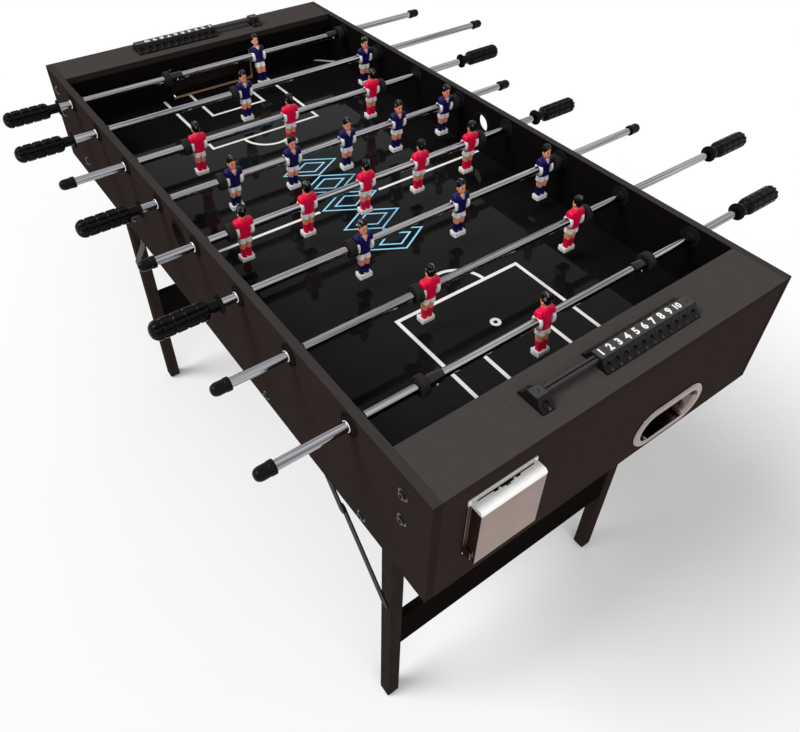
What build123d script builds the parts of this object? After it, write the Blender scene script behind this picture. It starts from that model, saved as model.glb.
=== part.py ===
from build123d import *
from math import atan2, cos, degrees, hypot, radians, sin
import os

os.makedirs("parts", exist_ok=True)

# A free-standing foosball table with folding legs. Millimetres, +Z up.
# X runs along the rods, Y along the table, and the origin is on the floor under the cabinet's centre.
# The near end, with the ashtray, faces -Y.

# Overall sizes
table_height = 803.0
cabinet_length = 1214.0
cabinet_width = 610.0
cabinet_height = 194.0

# Boards of the cabinet
panel_thickness = 12.0
ledge_depth = 83.0
ledge_thickness = 12.0
goal_wall_thickness = 9.0
goal_wall_drop = 45.0
field_depth = 97.0
field_thickness = 5.0
field_groove_depth = 5.0
field_groove_play = 0.2
batten_width = 30.0
batten_height = 20.0
batten_y = 175.0
corner_block_width = 25.0
corner_block_height = 120.0

# Goal, ball entry and ball return
goal_width = 184.0
goal_height = 64.0
goal_corner_radius = 6.0
entry_drop = 40.0
entry_bore = 36.0
entry_sleeve_wall = 2.0
entry_flange = 46.0
entry_flange_thickness = 2.0
return_inset = 198.0
return_rise = 48.0
return_length = 138.0
return_height = 70.0
return_flange_width = 9.0
return_flange_thickness = 4.0
return_wall = 2.0
return_mouth = 78.0
return_play = 0.3
trough_thickness = 4.0
trough_slope = 2.5
trough_gap = 4.0

# Flats round each small turned piece: the repeated pieces stay light this way
turned_sides = 12

# Rods and bearings
end_rod_gap = 63.75
rod_drop = 20.0
rod_diameter = 12.7
running_clearance = 0.08
fixed_play = 0.05
rod_hole = 17.0
bush_nose_diameter = 17.0
bush_flange = 34.0
bush_flange_thickness = 2.5
bush_nose = 5.0
plate_diameter = 31.0
plate_thickness = 3.0
bumper_diameter = 28.0
bumper_length = 11.0
bumper_play = 0.5
stop_gap = 0.3
collar_diameter = 17.0
collar_length = 25.0

# Each rod from the far end to the near end: men, side of the grip, side the men face along Y,
# rest place as a share of the travel along X, rest turn about X in degrees
rods = [
    (1, -1, -1, 0.99, -15.0),
    (2, -1, -1, 0.99, 2.0),
    (3, 1, 1, 0.03, 3.0),
    (5, -1, -1, 0.98, 4.0),
    (5, 1, 1, -0.28, 3.0),
    (3, -1, -1, 0.96, -1.0),
    (2, 1, 1, 0.41, 2.0),
    (1, 1, 1, -0.07, -5.0),
]
# By the number of men on a rod: their spacing as a share of the field's width, and bare rod left at the grip
man_spacing = {1: 0.0, 2: 0.4744, 3: 0.3089, 5: 0.186}
grip_spare = {1: 22.0, 2: 38.0, 3: 20.0, 5: 25.0}
goalie_reach = 0.331

# Player figure, measured from the rod's axis
man_half_width = 15.5
man_foot_reach = 60.5
man_head_reach = 42.5
man_foot_width = 21.0
man_ankle = -51.0
man_hem = -22.5
man_neck = 19.0
man_leg_gap = 3.0
man_arm_width = 6.0
man_head_sides = 8

# Grip and tip of a rod
grip_length = 98.0
grip_diameter = 28.0
grip_neck = 17.0
grip_neck_length = 16.0
grip_flange = 27.0
grip_flange_thickness = 2.5
grip_end_wall = 14.0
grip_taper = 7.0
grip_round = 7.0
grip_flutes = 10
grip_flute_depth = 2.4
tip_length = 25.0
tip_diameter = 18.0
tip_gap = 6.0
tip_end_wall = 5.0
tip_round = 3.0

# Score counters on the ledges
counter_length = 274.0
counter_bracket = 19.0
counter_base = 41.0
counter_top = 20.0
counter_height = 17.0
counter_skirt = 3.0
rail_width = 10.0
rail_height = 6.5
rail_bottom = 7.0
rail_groove = 3.0
bead_count = 10
bead_pitch = 15.2
bead_play = 0.2
bead_bore_play = 0.4
bead_notch = 4.0

# Ashtray on the near end panel
ashtray_inset = 96.0
ashtray_width = 93.0
ashtray_box_height = 99.0
ashtray_box_depth = 17.0
ashtray_wall = 1.5
ashtray_top_drop = 30.0
ashtray_plate_height = 104.0
ashtray_plate_lip = 2.0
ashtray_heel = 6.0
ashtray_bevel = 3.0
ashtray_plate_thickness = 2.0
ashtray_ear = 12.0
ashtray_pivot_rise = 9.0
ashtray_pin = 4.0
ashtray_gap = 0.5

# Folding legs and their braces
leg_width = 24.0
leg_inset_x = 51.0
leg_inset_y = 127.0
leg_foot_chamfer = 4.0
near_pivot_rise = 17.0
far_pivot_rise = 44.0
leg_side_gap = 0.5
leg_block_width = 44.0
leg_block_height = 60.0
leg_block_lift = 17.0
pivot_bolt = 8.0
pivot_bolt_head = 17.0
pivot_head_thickness = 5.0
pivot_play = 0.1
stretcher_top = 275.0
stretcher_height = 89.0
stretcher_thickness = 15.0
brace_reach = 239.0
brace_bolt = 6.0
brace_bolt_head = 15.0
brace_drop = 278.0
brace_width = 16.0
brace_thickness = 2.5
brace_gap = 0.5
brace_pin_depth = 12.0

# Levels and faces that follow from the sizes above
top_z = table_height
bottom_z = table_height - cabinet_height
field_z = top_z - field_depth
rod_z = top_z - rod_drop
entry_z = top_z - entry_drop
return_z = bottom_z + return_rise
outer_x = cabinet_width / 2
inner_x = outer_x - panel_thickness
outer_y = cabinet_length / 2
panel_y = outer_y - panel_thickness
wall_y = outer_y - ledge_depth
wall_back_y = wall_y + goal_wall_thickness
ledge_z = top_z - ledge_thickness
goal_wall_z = field_z - goal_wall_drop
return_x = outer_x - return_inset
ashtray_x = ashtray_inset - outer_x
leg_x = outer_x - leg_inset_x
leg_y = outer_y - leg_inset_y
brace_bolt_y = leg_y - brace_reach
pivot_z = {-1: bottom_z + near_pivot_rise, 1: bottom_z + far_pivot_rise}
rod_radius = rod_diameter / 2
bore_radius = rod_radius + running_clearance
first_rod_y = wall_y - end_rod_gap
rod_pitch = 2 * first_rod_y / (len(rods) - 1)
rod_ys = [first_rod_y - i * rod_pitch for i in range(len(rods))]
entry_sleeve = entry_bore / 2 + entry_sleeve_wall
socket_radius = rod_radius + fixed_play
stop_x = inner_x - bush_flange_thickness - bush_nose
leg_outer_x = leg_x + leg_width / 2
leg_inner_x = leg_x - leg_width / 2


def man_offsets(men):
    """Places of the men along a rod, from the rod's middle."""
    spacing = man_spacing[men] * 2 * inner_x
    return [(i - (men - 1) / 2) * spacing for i in range(men)]


def inner_stop(men):
    """Inner face of a bumper, at a goalkeeper's collar or an outermost man, from the rod's middle."""
    if men == 1:
        return goalie_reach * 2 * inner_x + bumper_play
    return max(man_offsets(men)) + man_half_width + bumper_play


def rod_travel(men):
    """How far a rod slides to each side of the middle, before a bumper meets its bush."""
    return stop_x - stop_gap - bumper_length - inner_stop(men)


def save(builder, name):
    builder.part.label = name
    export_step(builder.part, f"parts/{name}.step")


def turned(steps, bore=0.0, bore_depth=0.0):
    """A small round piece along +X from (x, radius) steps, made of flats to keep its facets few.

    The bore starts at the first step, and goes right through where no depth is given.
    """
    with BuildPart() as piece:
        for (start, start_radius), (end, end_radius) in zip(steps, steps[1:]):
            if end > start:
                with BuildSketch(Plane.YZ.offset(start)):
                    RegularPolygon(start_radius, turned_sides)
                if start_radius == end_radius:
                    extrude(amount=end - start)
                else:
                    with BuildSketch(Plane.YZ.offset(end)):
                        RegularPolygon(end_radius, turned_sides)
                    loft()
        if bore:
            with BuildSketch(Plane.YZ.offset(steps[0][0])):
                RegularPolygon(bore, turned_sides, major_radius=False)
            extrude(amount=bore_depth or steps[-1][0] - steps[0][0], mode=Mode.SUBTRACT)
    return piece.part


def drilled(radius, mode=Mode.ADD):
    """Outline of a hole that clears a turned pin of the given radius."""
    RegularPolygon(radius + pivot_play, turned_sides, major_radius=False, mode=mode)


def block(low, high):
    """A rectangular board between two opposite corners."""
    size = [abs(b - a) for a, b in zip(low, high)]
    middle = [(a + b) / 2 for a, b in zip(low, high)]
    with BuildPart() as board:
        with Locations(Location(tuple(middle))):
            Box(*size)
    return board.part


def group(name, pieces):
    """One node that holds separate solids."""
    with BuildPart() as node:
        for piece in pieces:
            add(piece)
    save(node, name)


def copies(piece, places):
    """The same solid at several places."""
    with BuildPart() as node:
        with Locations(*places):
            add(piece)
    return node


# Cabinet boards
def side_panel(side, name):
    inner_face = Plane.YZ.offset(side * inner_x)
    with BuildPart() as panel:
        with BuildSketch(inner_face):
            with Locations((0, (bottom_z + top_z) / 2)):
                Rectangle(cabinet_length, cabinet_height)
        extrude(amount=side * panel_thickness)
        with BuildSketch(inner_face):
            with Locations(*[(y, rod_z) for y in rod_ys]):
                RegularPolygon(rod_hole / 2, turned_sides)
            with Locations((0, entry_z)):
                RegularPolygon(entry_sleeve + fixed_play, turned_sides)
            for end in (-1, 1):
                with Locations((end * leg_y, pivot_z[end])):
                    drilled(pivot_bolt / 2)
                with Locations((end * brace_bolt_y, pivot_z[end])):
                    drilled(brace_bolt / 2)
        extrude(amount=side * panel_thickness, mode=Mode.SUBTRACT)
        groove_height = field_thickness + field_groove_play
        groove_z = field_z - field_thickness + groove_height / 2
        with Locations((side * (inner_x + field_groove_depth / 2), 0, groove_z)):
            Box(field_groove_depth, 2 * wall_y, groove_height, mode=Mode.SUBTRACT)
    save(panel, name)


side_panel(-1, "side_panel_left")
side_panel(1, "side_panel_right")


def end_panel(end, name):
    with BuildPart() as panel:
        with BuildSketch(Plane.XZ.offset(-end * panel_y)):
            with Locations((0, (bottom_z + ledge_z) / 2)):
                Rectangle(2 * inner_x, ledge_z - bottom_z)
            with Locations((-end * return_x, return_z)):
                liner_length = return_length - 2 * return_flange_width + 2 * return_play
                liner_height = return_height - 2 * return_flange_width + 2 * return_play
                SlotOverall(liner_length, liner_height, mode=Mode.SUBTRACT)
        extrude(amount=-end * panel_thickness)
    save(panel, name)


end_panel(-1, "end_panel_near")
end_panel(1, "end_panel_far")

with BuildPart() as end_ledges:
    with Locations(*[(0, end * (wall_y + outer_y) / 2, top_z - ledge_thickness / 2) for end in (-1, 1)]):
        Box(2 * inner_x, ledge_depth, ledge_thickness)
save(end_ledges, "end_ledges")

with BuildPart() as goal_walls:
    for end in (-1, 1):
        with BuildSketch(Plane.XZ.offset(-end * wall_y)):
            with Locations((0, (goal_wall_z + ledge_z) / 2)):
                Rectangle(2 * inner_x, ledge_z - goal_wall_z)
            with Locations((0, field_z + goal_height / 2)):
                RectangleRounded(goal_width, goal_height, goal_corner_radius, mode=Mode.SUBTRACT)
        extrude(amount=-end * goal_wall_thickness)
save(goal_walls, "goal_walls")

with BuildPart() as playfield:
    with Locations((0, 0, field_z - field_thickness / 2)):
        Box(2 * (inner_x + field_groove_depth), 2 * wall_y, field_thickness)
save(playfield, "playfield")

with BuildPart() as field_battens:
    batten_z = field_z - field_thickness - batten_height / 2
    with Locations((0, -batten_y, batten_z), (0, batten_y, batten_z)):
        Box(2 * inner_x, batten_width, batten_height)
save(field_battens, "field_battens")

# Wood blocks: four fill the end compartments' corners, four space the leg pivots off the side panels
block_inner_x = leg_outer_x + leg_side_gap
wood_blocks = []
for side in (-1, 1):
    for end in (-1, 1):
        wood_blocks.append(block(
            (side * inner_x, end * wall_back_y, ledge_z - corner_block_height),
            (side * (inner_x - corner_block_width), end * panel_y, ledge_z),
        ))
        with BuildPart() as spacer:
            with BuildSketch(Plane.YZ.offset(side * block_inner_x)):
                with Locations((end * leg_y, pivot_z[end] - leg_block_lift + leg_block_height / 2)):
                    Rectangle(leg_block_width, leg_block_height)
                with Locations((end * leg_y, pivot_z[end])):
                    drilled(pivot_bolt / 2, Mode.SUBTRACT)
            extrude(amount=side * (inner_x - block_inner_x))
        wood_blocks.append(spacer.part)
group("wood_blocks", wood_blocks)


# Ball runs behind the goals: two sloping boards lead to the return cup's open top
def ball_trough(end, low_x, high_x):
    """A board between the goal wall and the end panel that falls from high_x to low_x."""
    run = abs(high_x - low_x)
    cup_top = return_z + return_height / 2 - return_flange_width
    low_z = cup_top + trough_gap
    high_z = low_z + run * sin(radians(trough_slope)) / cos(radians(trough_slope))
    with BuildPart() as board:
        with BuildSketch(Plane.XZ.offset(-end * wall_back_y)):
            with BuildLine():
                Polyline(
                    (low_x, low_z - trough_thickness),
                    (low_x, low_z),
                    (high_x, high_z),
                    (high_x, high_z - trough_thickness),
                    close=True,
                )
            make_face()
        extrude(amount=-end * (panel_y - wall_back_y))
    return board.part


trough_far_x = inner_x - corner_block_width
trough_pieces = []
for end in (-1, 1):
    cup_x = -end * return_x
    for side in (-1, 1):
        trough_pieces.append(ball_trough(end, cup_x + side * return_mouth / 2, side * trough_far_x))
group("ball_troughs", trough_pieces)

# Return cups: a flanged liner pushed through the end panel, closed at the back and open above
with BuildPart() as return_cup:
    liner_length = return_length - 2 * return_flange_width
    liner_height = return_height - 2 * return_flange_width
    cup_depth = outer_y - wall_back_y
    with BuildSketch(Plane.XZ):
        SlotOverall(return_length, return_height)
    extrude(amount=return_flange_thickness)
    chamfer(return_cup.edges().group_by(Axis.Y)[0], return_flange_thickness / 2)
    with BuildSketch(Plane.XZ):
        SlotOverall(liner_length, liner_height)
    extrude(amount=-cup_depth)
    with BuildSketch(Plane.XZ.offset(return_flange_thickness)):
        SlotOverall(liner_length - 2 * return_wall, liner_height - 2 * return_wall)
    extrude(amount=-(cup_depth + return_flange_thickness - return_wall), mode=Mode.SUBTRACT)
    mouth_depth = cup_depth - panel_thickness - return_wall
    with Locations((0, panel_thickness + mouth_depth / 2, liner_height / 2)):
        Box(return_mouth, mouth_depth, liner_height / 2, mode=Mode.SUBTRACT)
return_places = [
    Location((return_x, -outer_y, return_z), (0, 0, 0)),
    Location((-return_x, outer_y, return_z), (0, 0, 180)),
]
save(copies(return_cup.part, return_places), "ball_return_cups")

# Ball entry rings in both side panels
entry_ring = turned(
    [
        (-entry_flange_thickness, entry_flange / 2),
        (0, entry_flange / 2),
        (0, entry_sleeve),
        (panel_thickness, entry_sleeve),
        (panel_thickness, entry_flange / 2),
        (panel_thickness + entry_flange_thickness, entry_flange / 2),
    ],
    bore=entry_bore / 2,
)
entry_places = [Location((inner_x, 0, entry_z)), Location((-inner_x, 0, entry_z), (0, 0, 180))]
save(copies(entry_ring, entry_places), "ball_entry_rings")

# Rod bearings: a nosed bush inside each side panel and a flange plate outside
inner_bush = turned(
    [
        (0, bush_flange / 2),
        (bush_flange_thickness, bush_flange / 2),
        (bush_flange_thickness, bush_nose_diameter / 2),
        (bush_flange_thickness + bush_nose, bush_nose_diameter / 2),
    ],
    bore=bore_radius,
)
flange_plate = turned([(0, plate_diameter / 2), (plate_thickness, plate_diameter / 2)], bore=bore_radius)
bush_places = []
plate_places = []
for y in rod_ys:
    bush_places.append(Location((-inner_x, y, rod_z)))
    bush_places.append(Location((inner_x, y, rod_z), (0, 0, 180)))
    plate_places.append(Location((outer_x, y, rod_z)))
    plate_places.append(Location((-outer_x, y, rod_z), (0, 0, 180)))
save(copies(inner_bush, bush_places), "rod_bushes")
save(copies(flange_plate, plate_places), "rod_flange_plates")

# Player figure: feet down, facing +Y, with the rod through its fists along X.
# The body is where its front and side outlines meet, the head is lofted, and the arms reach the rod.
man_front = [
    (man_foot_width / 2, -man_foot_reach),
    (man_foot_width / 2, man_ankle),
    (8.5, man_ankle + 1),
    (10.2, man_hem - 3),
    (11.2, man_hem),
    (9.3, -9),
    (12, 9),
    (13, 14),
    (9, man_neck - 1),
]
man_side = [
    (-7, -man_foot_reach + 3),
    (-4, -man_foot_reach),
    (6, -man_foot_reach),
    (9, -man_foot_reach + 4),
    (5, man_ankle),
    (6, man_hem - 3),
    (7.5, man_hem),
    (8, -8),
    (8.5, 8),
    (4.5, man_neck),
    (-4.5, man_neck),
    (-8, 10),
    (-7.5, -8),
    (-7.5, man_hem),
    (-6, man_hem - 3),
    (-5, man_ankle),
]
man_head = [(man_neck - 3, 4.5), (24, 7), (30, 8.7), (37, 8.3), (man_head_reach, 4.5)]
man_arm = [(-8, -3), (-4.5, -8.5), (4.5, -8.5), (8, -3), (5, 15), (-5, 15)]
with BuildPart() as man:
    with BuildSketch(Plane.XZ):
        with BuildLine():
            Polyline(*man_front, *[(-x, z) for x, z in reversed(man_front)], close=True)
        make_face()
        with Locations((0, (man_ankle + man_hem) / 2)):
            Rectangle(man_leg_gap, man_hem - man_ankle - 6, mode=Mode.SUBTRACT)
    extrude(amount=man_half_width, both=True)
    with BuildSketch(Plane.YZ):
        with BuildLine():
            Polyline(*man_side, close=True)
        make_face()
    extrude(amount=man_half_width, both=True, mode=Mode.INTERSECT)
    for (low, low_radius), (high, high_radius) in zip(man_head, man_head[1:]):
        with BuildSketch(Plane.XY.offset(low)):
            RegularPolygon(low_radius, man_head_sides)
        with BuildSketch(Plane.XY.offset(high)):
            RegularPolygon(high_radius, man_head_sides)
        loft()
    for side in (-1, 1):
        with BuildSketch(Plane.YZ.offset(side * (man_half_width - man_arm_width))):
            with BuildLine():
                Polyline(*man_arm, close=True)
            make_face()
        extrude(amount=side * man_arm_width)
    with BuildSketch(Plane.YZ.offset(-man_half_width)):
        RegularPolygon(socket_radius, turned_sides, major_radius=False)
    extrude(amount=2 * man_half_width, mode=Mode.SUBTRACT)


# Fluted grip: flange towards the table, narrowed end outwards along +X
def fluted(radius):
    """Outline of the grip with V flutes, round the X axis."""
    points = []
    for i in range(grip_flutes):
        step = 360 / grip_flutes
        for share, point_radius in ((-0.3, radius), (0.3, radius), (0.5, radius - grip_flute_depth)):
            angle = radians((i + share) * step)
            points.append((point_radius * cos(angle), point_radius * sin(angle)))
    return points


grip_radius = grip_diameter / 2
grip_start = grip_flange_thickness + grip_neck_length
grip_stations = [
    (grip_start, grip_neck / 2 + grip_flute_depth),
    (grip_start + grip_taper, grip_radius),
    (grip_length - grip_round, grip_radius),
    (grip_length, grip_radius - grip_round),
]
with BuildPart() as grip:
    add(turned([
        (0, grip_flange / 2),
        (grip_flange_thickness, grip_flange / 2),
        (grip_flange_thickness, grip_neck / 2),
        (grip_start, grip_neck / 2),
    ]))
    for (start, start_radius), (end, end_radius) in zip(grip_stations, grip_stations[1:]):
        with BuildSketch(Plane.YZ.offset(start)):
            with BuildLine():
                Polyline(*fluted(start_radius), close=True)
            make_face()
        with BuildSketch(Plane.YZ.offset(end)):
            with BuildLine():
                Polyline(*fluted(end_radius), close=True)
            make_face()
        loft(ruled=True)
    with BuildSketch(Plane.YZ):
        RegularPolygon(socket_radius, turned_sides, major_radius=False)
    extrude(amount=grip_length - grip_end_wall, mode=Mode.SUBTRACT)

rod_tip = turned(
    [
        (0, tip_diameter / 2),
        (tip_length - tip_round, tip_diameter / 2),
        (tip_length, tip_diameter / 2 - tip_round),
    ],
    bore=socket_radius,
    bore_depth=tip_length - tip_end_wall,
)
bumper = turned([(0, bumper_diameter / 2), (bumper_length, bumper_diameter / 2)], bore=bore_radius)
stop_collar = turned([(0, collar_diameter / 2), (collar_length, collar_diameter / 2)], bore=socket_radius)


def facing(side):
    """Turn about Z that brings a piece from the positive side to the given one."""
    return 0 if side > 0 else 180


for number, (men, grip_side, face_side, rest_share, turn) in enumerate(rods, start=1):
    y = rod_ys[number - 1]
    travel = rod_travel(men)
    rest_x = rest_share * travel
    plate_face = outer_x + plate_thickness
    grip_face = plate_face + grip_spare[men] + travel
    tip_face = plate_face + tip_gap + travel
    rod_end = grip_face + grip_length - grip_end_wall
    tip_end = tip_face + tip_length - tip_end_wall
    with BuildPart() as rod_bar:
        with BuildSketch(Plane.YZ.offset(rest_x - grip_side * tip_end)):
            with Locations((y, rod_z)):
                Circle(rod_radius)
        extrude(amount=grip_side * (rod_end + tip_end))
    save(rod_bar, f"rod_{number}_bar")
    man_places = [Location((rest_x + x, y, rod_z), (turn, 0, facing(face_side))) for x in man_offsets(men)]
    save(copies(man.part, man_places), f"rod_{number}_men")
    with BuildPart() as end_fittings:
        with Locations(Location((rest_x + grip_side * grip_face, y, rod_z), (0, 0, facing(grip_side)))):
            add(grip.part)
        with Locations(Location((rest_x - grip_side * tip_face, y, rod_z), (0, 0, facing(-grip_side)))):
            add(rod_tip)
    save(end_fittings, f"rod_{number}_grip_and_tip")
    bumper_start = inner_stop(men)
    collar_start = bumper_start - bumper_play - collar_length
    bumper_places = []
    collar_places = []
    for side in (-1, 1):
        bumper_places.append(Location((rest_x + side * bumper_start, y, rod_z), (0, 0, facing(side))))
        collar_places.append(Location((rest_x + side * collar_start, y, rod_z), (0, 0, facing(side))))
    save(copies(bumper, bumper_places), f"rod_{number}_bumpers")
    if men == 1:
        save(copies(stop_collar, collar_places), f"rod_{number}_stop_collars")


# Score counters: a grooved rail between two brackets, and ten numbered beads pushed to one end
counter_outline = [
    (-counter_base / 2, 0),
    (-counter_base / 2, counter_skirt),
    (-counter_top / 2, counter_height),
    (counter_top / 2, counter_height),
    (counter_base / 2, counter_skirt),
    (counter_base / 2, 0),
]
with BuildPart() as counter_bracket_piece:
    with BuildSketch(Plane.YZ):
        with BuildLine():
            Polyline(*counter_outline, close=True)
        make_face()
    extrude(amount=counter_bracket)

with BuildPart() as counter_rail:
    rail_length = counter_length - 2 * counter_bracket
    with Locations((0, 0, rail_bottom + rail_height / 2)):
        Box(rail_length, rail_width, rail_height)
    with Locations((0, 0, rail_bottom + rail_height)):
        Box(rail_length, rail_groove, rail_groove, mode=Mode.SUBTRACT)

with BuildPart() as counter_bead:
    with BuildSketch(Plane.YZ):
        with BuildLine():
            Polyline(*counter_outline, close=True)
        make_face()
        with Locations((0, rail_bottom + rail_height / 2)):
            Rectangle(rail_width + 2 * bead_bore_play, rail_height + 2 * bead_bore_play, mode=Mode.SUBTRACT)
    extrude(amount=bead_pitch - bead_play)
    for side in (-1, 1):
        with BuildSketch(Plane.YZ.offset(bead_pitch * 0.25)):
            with BuildLine():
                Polyline(
                    (side * counter_base / 2, counter_skirt + 1),
                    (side * (counter_base / 2 - bead_notch - 2), counter_skirt + 1),
                    (side * (counter_top / 2 + bead_notch - 2), counter_height * 0.72),
                    (side * counter_base / 2, counter_height * 0.72),
                    close=True,
                )
            make_face()
        extrude(amount=bead_pitch * 0.5, mode=Mode.SUBTRACT)

counter_y = (wall_y + outer_y) / 2
with BuildPart() as counter_rails:
    for end in (-1, 1):
        with Locations(Location((0, end * counter_y, top_z))):
            add(counter_rail.part)
        for side in (-1, 1):
            bracket_x = side * (counter_length / 2 - counter_bracket)
            with Locations(Location((bracket_x, end * counter_y, top_z), (0, 0, facing(side)))):
                add(counter_bracket_piece.part)
save(counter_rails, "counter_rails")

beads_start = counter_length / 2 - counter_bracket - bead_count * bead_pitch
for end, name in ((-1, "near_counter_beads"), (1, "far_counter_beads")):
    bead_places = []
    for i in range(bead_count):
        bead_x = -end * (beads_start + i * bead_pitch)
        bead_places.append(Location((bead_x, end * counter_y, top_z), (0, 0, facing(-end))))
    save(copies(counter_bead.part, bead_places), name)

# Ashtray: a back plate with two ears, and a box that tips out on their pins
plate_face_y = -outer_y - ashtray_plate_thickness
box_back_y = plate_face_y - ashtray_gap
box_top_z = top_z - ashtray_top_drop
box_bottom_z = box_top_z - ashtray_box_height
ashtray_pivot_y = box_back_y - ashtray_ear / 2
ashtray_pivot_z = box_bottom_z + ashtray_pivot_rise
ear_inner = ashtray_width / 2 + ashtray_gap
ear_outer = ear_inner + ashtray_plate_thickness
with BuildPart() as ashtray_plate:
    plate_z = box_top_z + ashtray_plate_lip - ashtray_plate_height / 2
    with Locations((ashtray_x, -outer_y - ashtray_plate_thickness / 2, plate_z)):
        Box(2 * ear_outer, ashtray_plate_thickness, ashtray_plate_height)
    for side in (-1, 1):
        ear_x = ashtray_x + side * (ear_inner + ear_outer) / 2
        with Locations((ear_x, plate_face_y - ashtray_ear / 2, ashtray_pivot_z)):
            Box(ashtray_plate_thickness, ashtray_ear, ashtray_ear)
        with BuildSketch(Plane.YZ.offset(ashtray_x + side * ear_outer)):
            with Locations((ashtray_pivot_y, ashtray_pivot_z)):
                Circle(ashtray_pin / 2)
        extrude(amount=-side * (ashtray_plate_thickness + ashtray_gap + ashtray_wall))
save(ashtray_plate, "ashtray_plate")

with BuildPart() as ashtray_box:
    front_y = box_back_y - ashtray_box_depth
    with BuildSketch(Plane.YZ.offset(ashtray_x - ashtray_width / 2)):
        with BuildLine():
            Polyline(
                (box_back_y, ashtray_pivot_z),
                (box_back_y - ashtray_heel, box_bottom_z),
                (front_y, box_bottom_z),
                (front_y, box_top_z - ashtray_bevel),
                (front_y + ashtray_bevel, box_top_z),
                (box_back_y, box_top_z),
                close=True,
            )
        make_face()
    extrude(amount=ashtray_width)
    open_faces = ashtray_box.faces().filter_by(Axis.Y).sort_by(Axis.Y)[-1]
    offset(amount=-ashtray_wall, openings=open_faces)
    with BuildSketch(Plane.YZ.offset(ashtray_x - ashtray_width / 2)):
        with Locations((ashtray_pivot_y, ashtray_pivot_z)):
            Circle(ashtray_pin / 2 + pivot_play)
    extrude(amount=ashtray_width, mode=Mode.SUBTRACT)
save(ashtray_box, "ashtray_box")


# Folding legs, spacer blocks, pivots and two-link braces at both ends
def leg_frame(end):
    """Two legs and the stretcher between them."""
    z = pivot_z[end]
    pieces = []
    for side in (-1, 1):
        with BuildPart() as leg:
            with BuildSketch(Plane.YZ.offset(side * leg_inner_x)):
                with Locations((end * leg_y, z / 2)):
                    Rectangle(leg_width, z)
                with Locations((end * leg_y, z)):
                    Circle(leg_width / 2)
                    drilled(pivot_bolt / 2, Mode.SUBTRACT)
            extrude(amount=side * leg_width)
            chamfer(leg.faces().sort_by(Axis.Z)[0].edges(), leg_foot_chamfer)
            with BuildSketch(Plane.YZ.offset(side * leg_outer_x)):
                with Locations((end * leg_y, z - brace_drop)):
                    drilled(brace_bolt / 2)
            extrude(amount=-side * (brace_pin_depth + pivot_play), mode=Mode.SUBTRACT)
        pieces.append(leg.part)
    stretcher_low = stretcher_top - stretcher_height
    half = stretcher_thickness / 2
    pieces.append(block(
        (-leg_inner_x, end * leg_y - half, stretcher_low),
        (leg_inner_x, end * leg_y + half, stretcher_top),
    ))
    return pieces


group("near_leg_frame", leg_frame(-1))
group("far_leg_frame", leg_frame(1))

lower_link_x = leg_outer_x + brace_gap
upper_link_x = lower_link_x + brace_thickness + brace_gap
leg_bolt = turned([
    (leg_inner_x, pivot_bolt / 2),
    (outer_x, pivot_bolt / 2),
    (outer_x, pivot_bolt_head / 2),
    (outer_x + pivot_head_thickness, pivot_bolt_head / 4),
])
spacer_x = upper_link_x + brace_thickness + brace_gap
strut_bolt = turned([
    (upper_link_x, brace_bolt / 2),
    (spacer_x, brace_bolt / 2),
    (spacer_x, brace_bolt),
    (inner_x, brace_bolt),
    (inner_x, brace_bolt / 2),
    (outer_x, brace_bolt / 2),
    (outer_x, brace_bolt_head / 2),
    (outer_x + pivot_head_thickness, brace_bolt_head / 4),
])
with BuildPart() as pivot_bolts:
    for end in (-1, 1):
        for side in (-1, 1):
            with Locations(Location((0, end * leg_y, pivot_z[end]), (0, 0, facing(side)))):
                add(leg_bolt)
            with Locations(Location((0, end * brace_bolt_y, pivot_z[end]), (0, 0, facing(side)))):
                add(strut_bolt)
save(pivot_bolts, "pivot_bolts")

# The links lie in one line with the legs down, and in one line again with the legs folded
brace_length = hypot(brace_reach, brace_drop)
upper_link_length = (brace_length + brace_drop - brace_reach) / 2
lower_link_length = brace_length - upper_link_length
brace_angle = degrees(atan2(brace_drop, brace_reach))


def link(face_x, side, start, angle, length, pinned):
    """A flat bar with rounded ends, from its pivot at start towards angle in the YZ plane.

    A pinned link carries its own pivot pin, and the other kind is drilled for a bolt.
    """
    along = (0, cos(radians(angle)), sin(radians(angle)))
    bar_plane = Plane(origin=(side * face_x, *start), x_dir=along, z_dir=(side, 0, 0))
    with BuildPart() as bar:
        with BuildSketch(bar_plane):
            with Locations((length / 2, 0)):
                SlotCenterToCenter(length, brace_width)
            if not pinned:
                drilled(brace_bolt / 2, Mode.SUBTRACT)
        extrude(amount=brace_thickness)
        if pinned:
            with BuildSketch(bar_plane):
                RegularPolygon(brace_bolt / 2, turned_sides)
            extrude(amount=-(brace_gap + brace_pin_depth))
    return bar.part


for end, name in ((-1, "near"), (1, "far")):
    bolt_start = (end * brace_bolt_y, pivot_z[end])
    leg_start = (end * leg_y, pivot_z[end] - brace_drop)
    down_angle = 180 + brace_angle if end < 0 else -brace_angle
    up_angle = brace_angle if end < 0 else 180 - brace_angle
    upper_links = []
    lower_links = []
    for side in (-1, 1):
        upper_links.append(link(upper_link_x, side, bolt_start, down_angle, upper_link_length, False))
        lower_links.append(link(lower_link_x, side, leg_start, up_angle, lower_link_length, True))
    group(f"{name}_upper_links", upper_links)
    group(f"{name}_lower_links", lower_links)
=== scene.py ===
from math import cos, pi, radians, sin

import bmesh
import bpy
import numpy as np
from mathutils import Matrix, Vector


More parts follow.
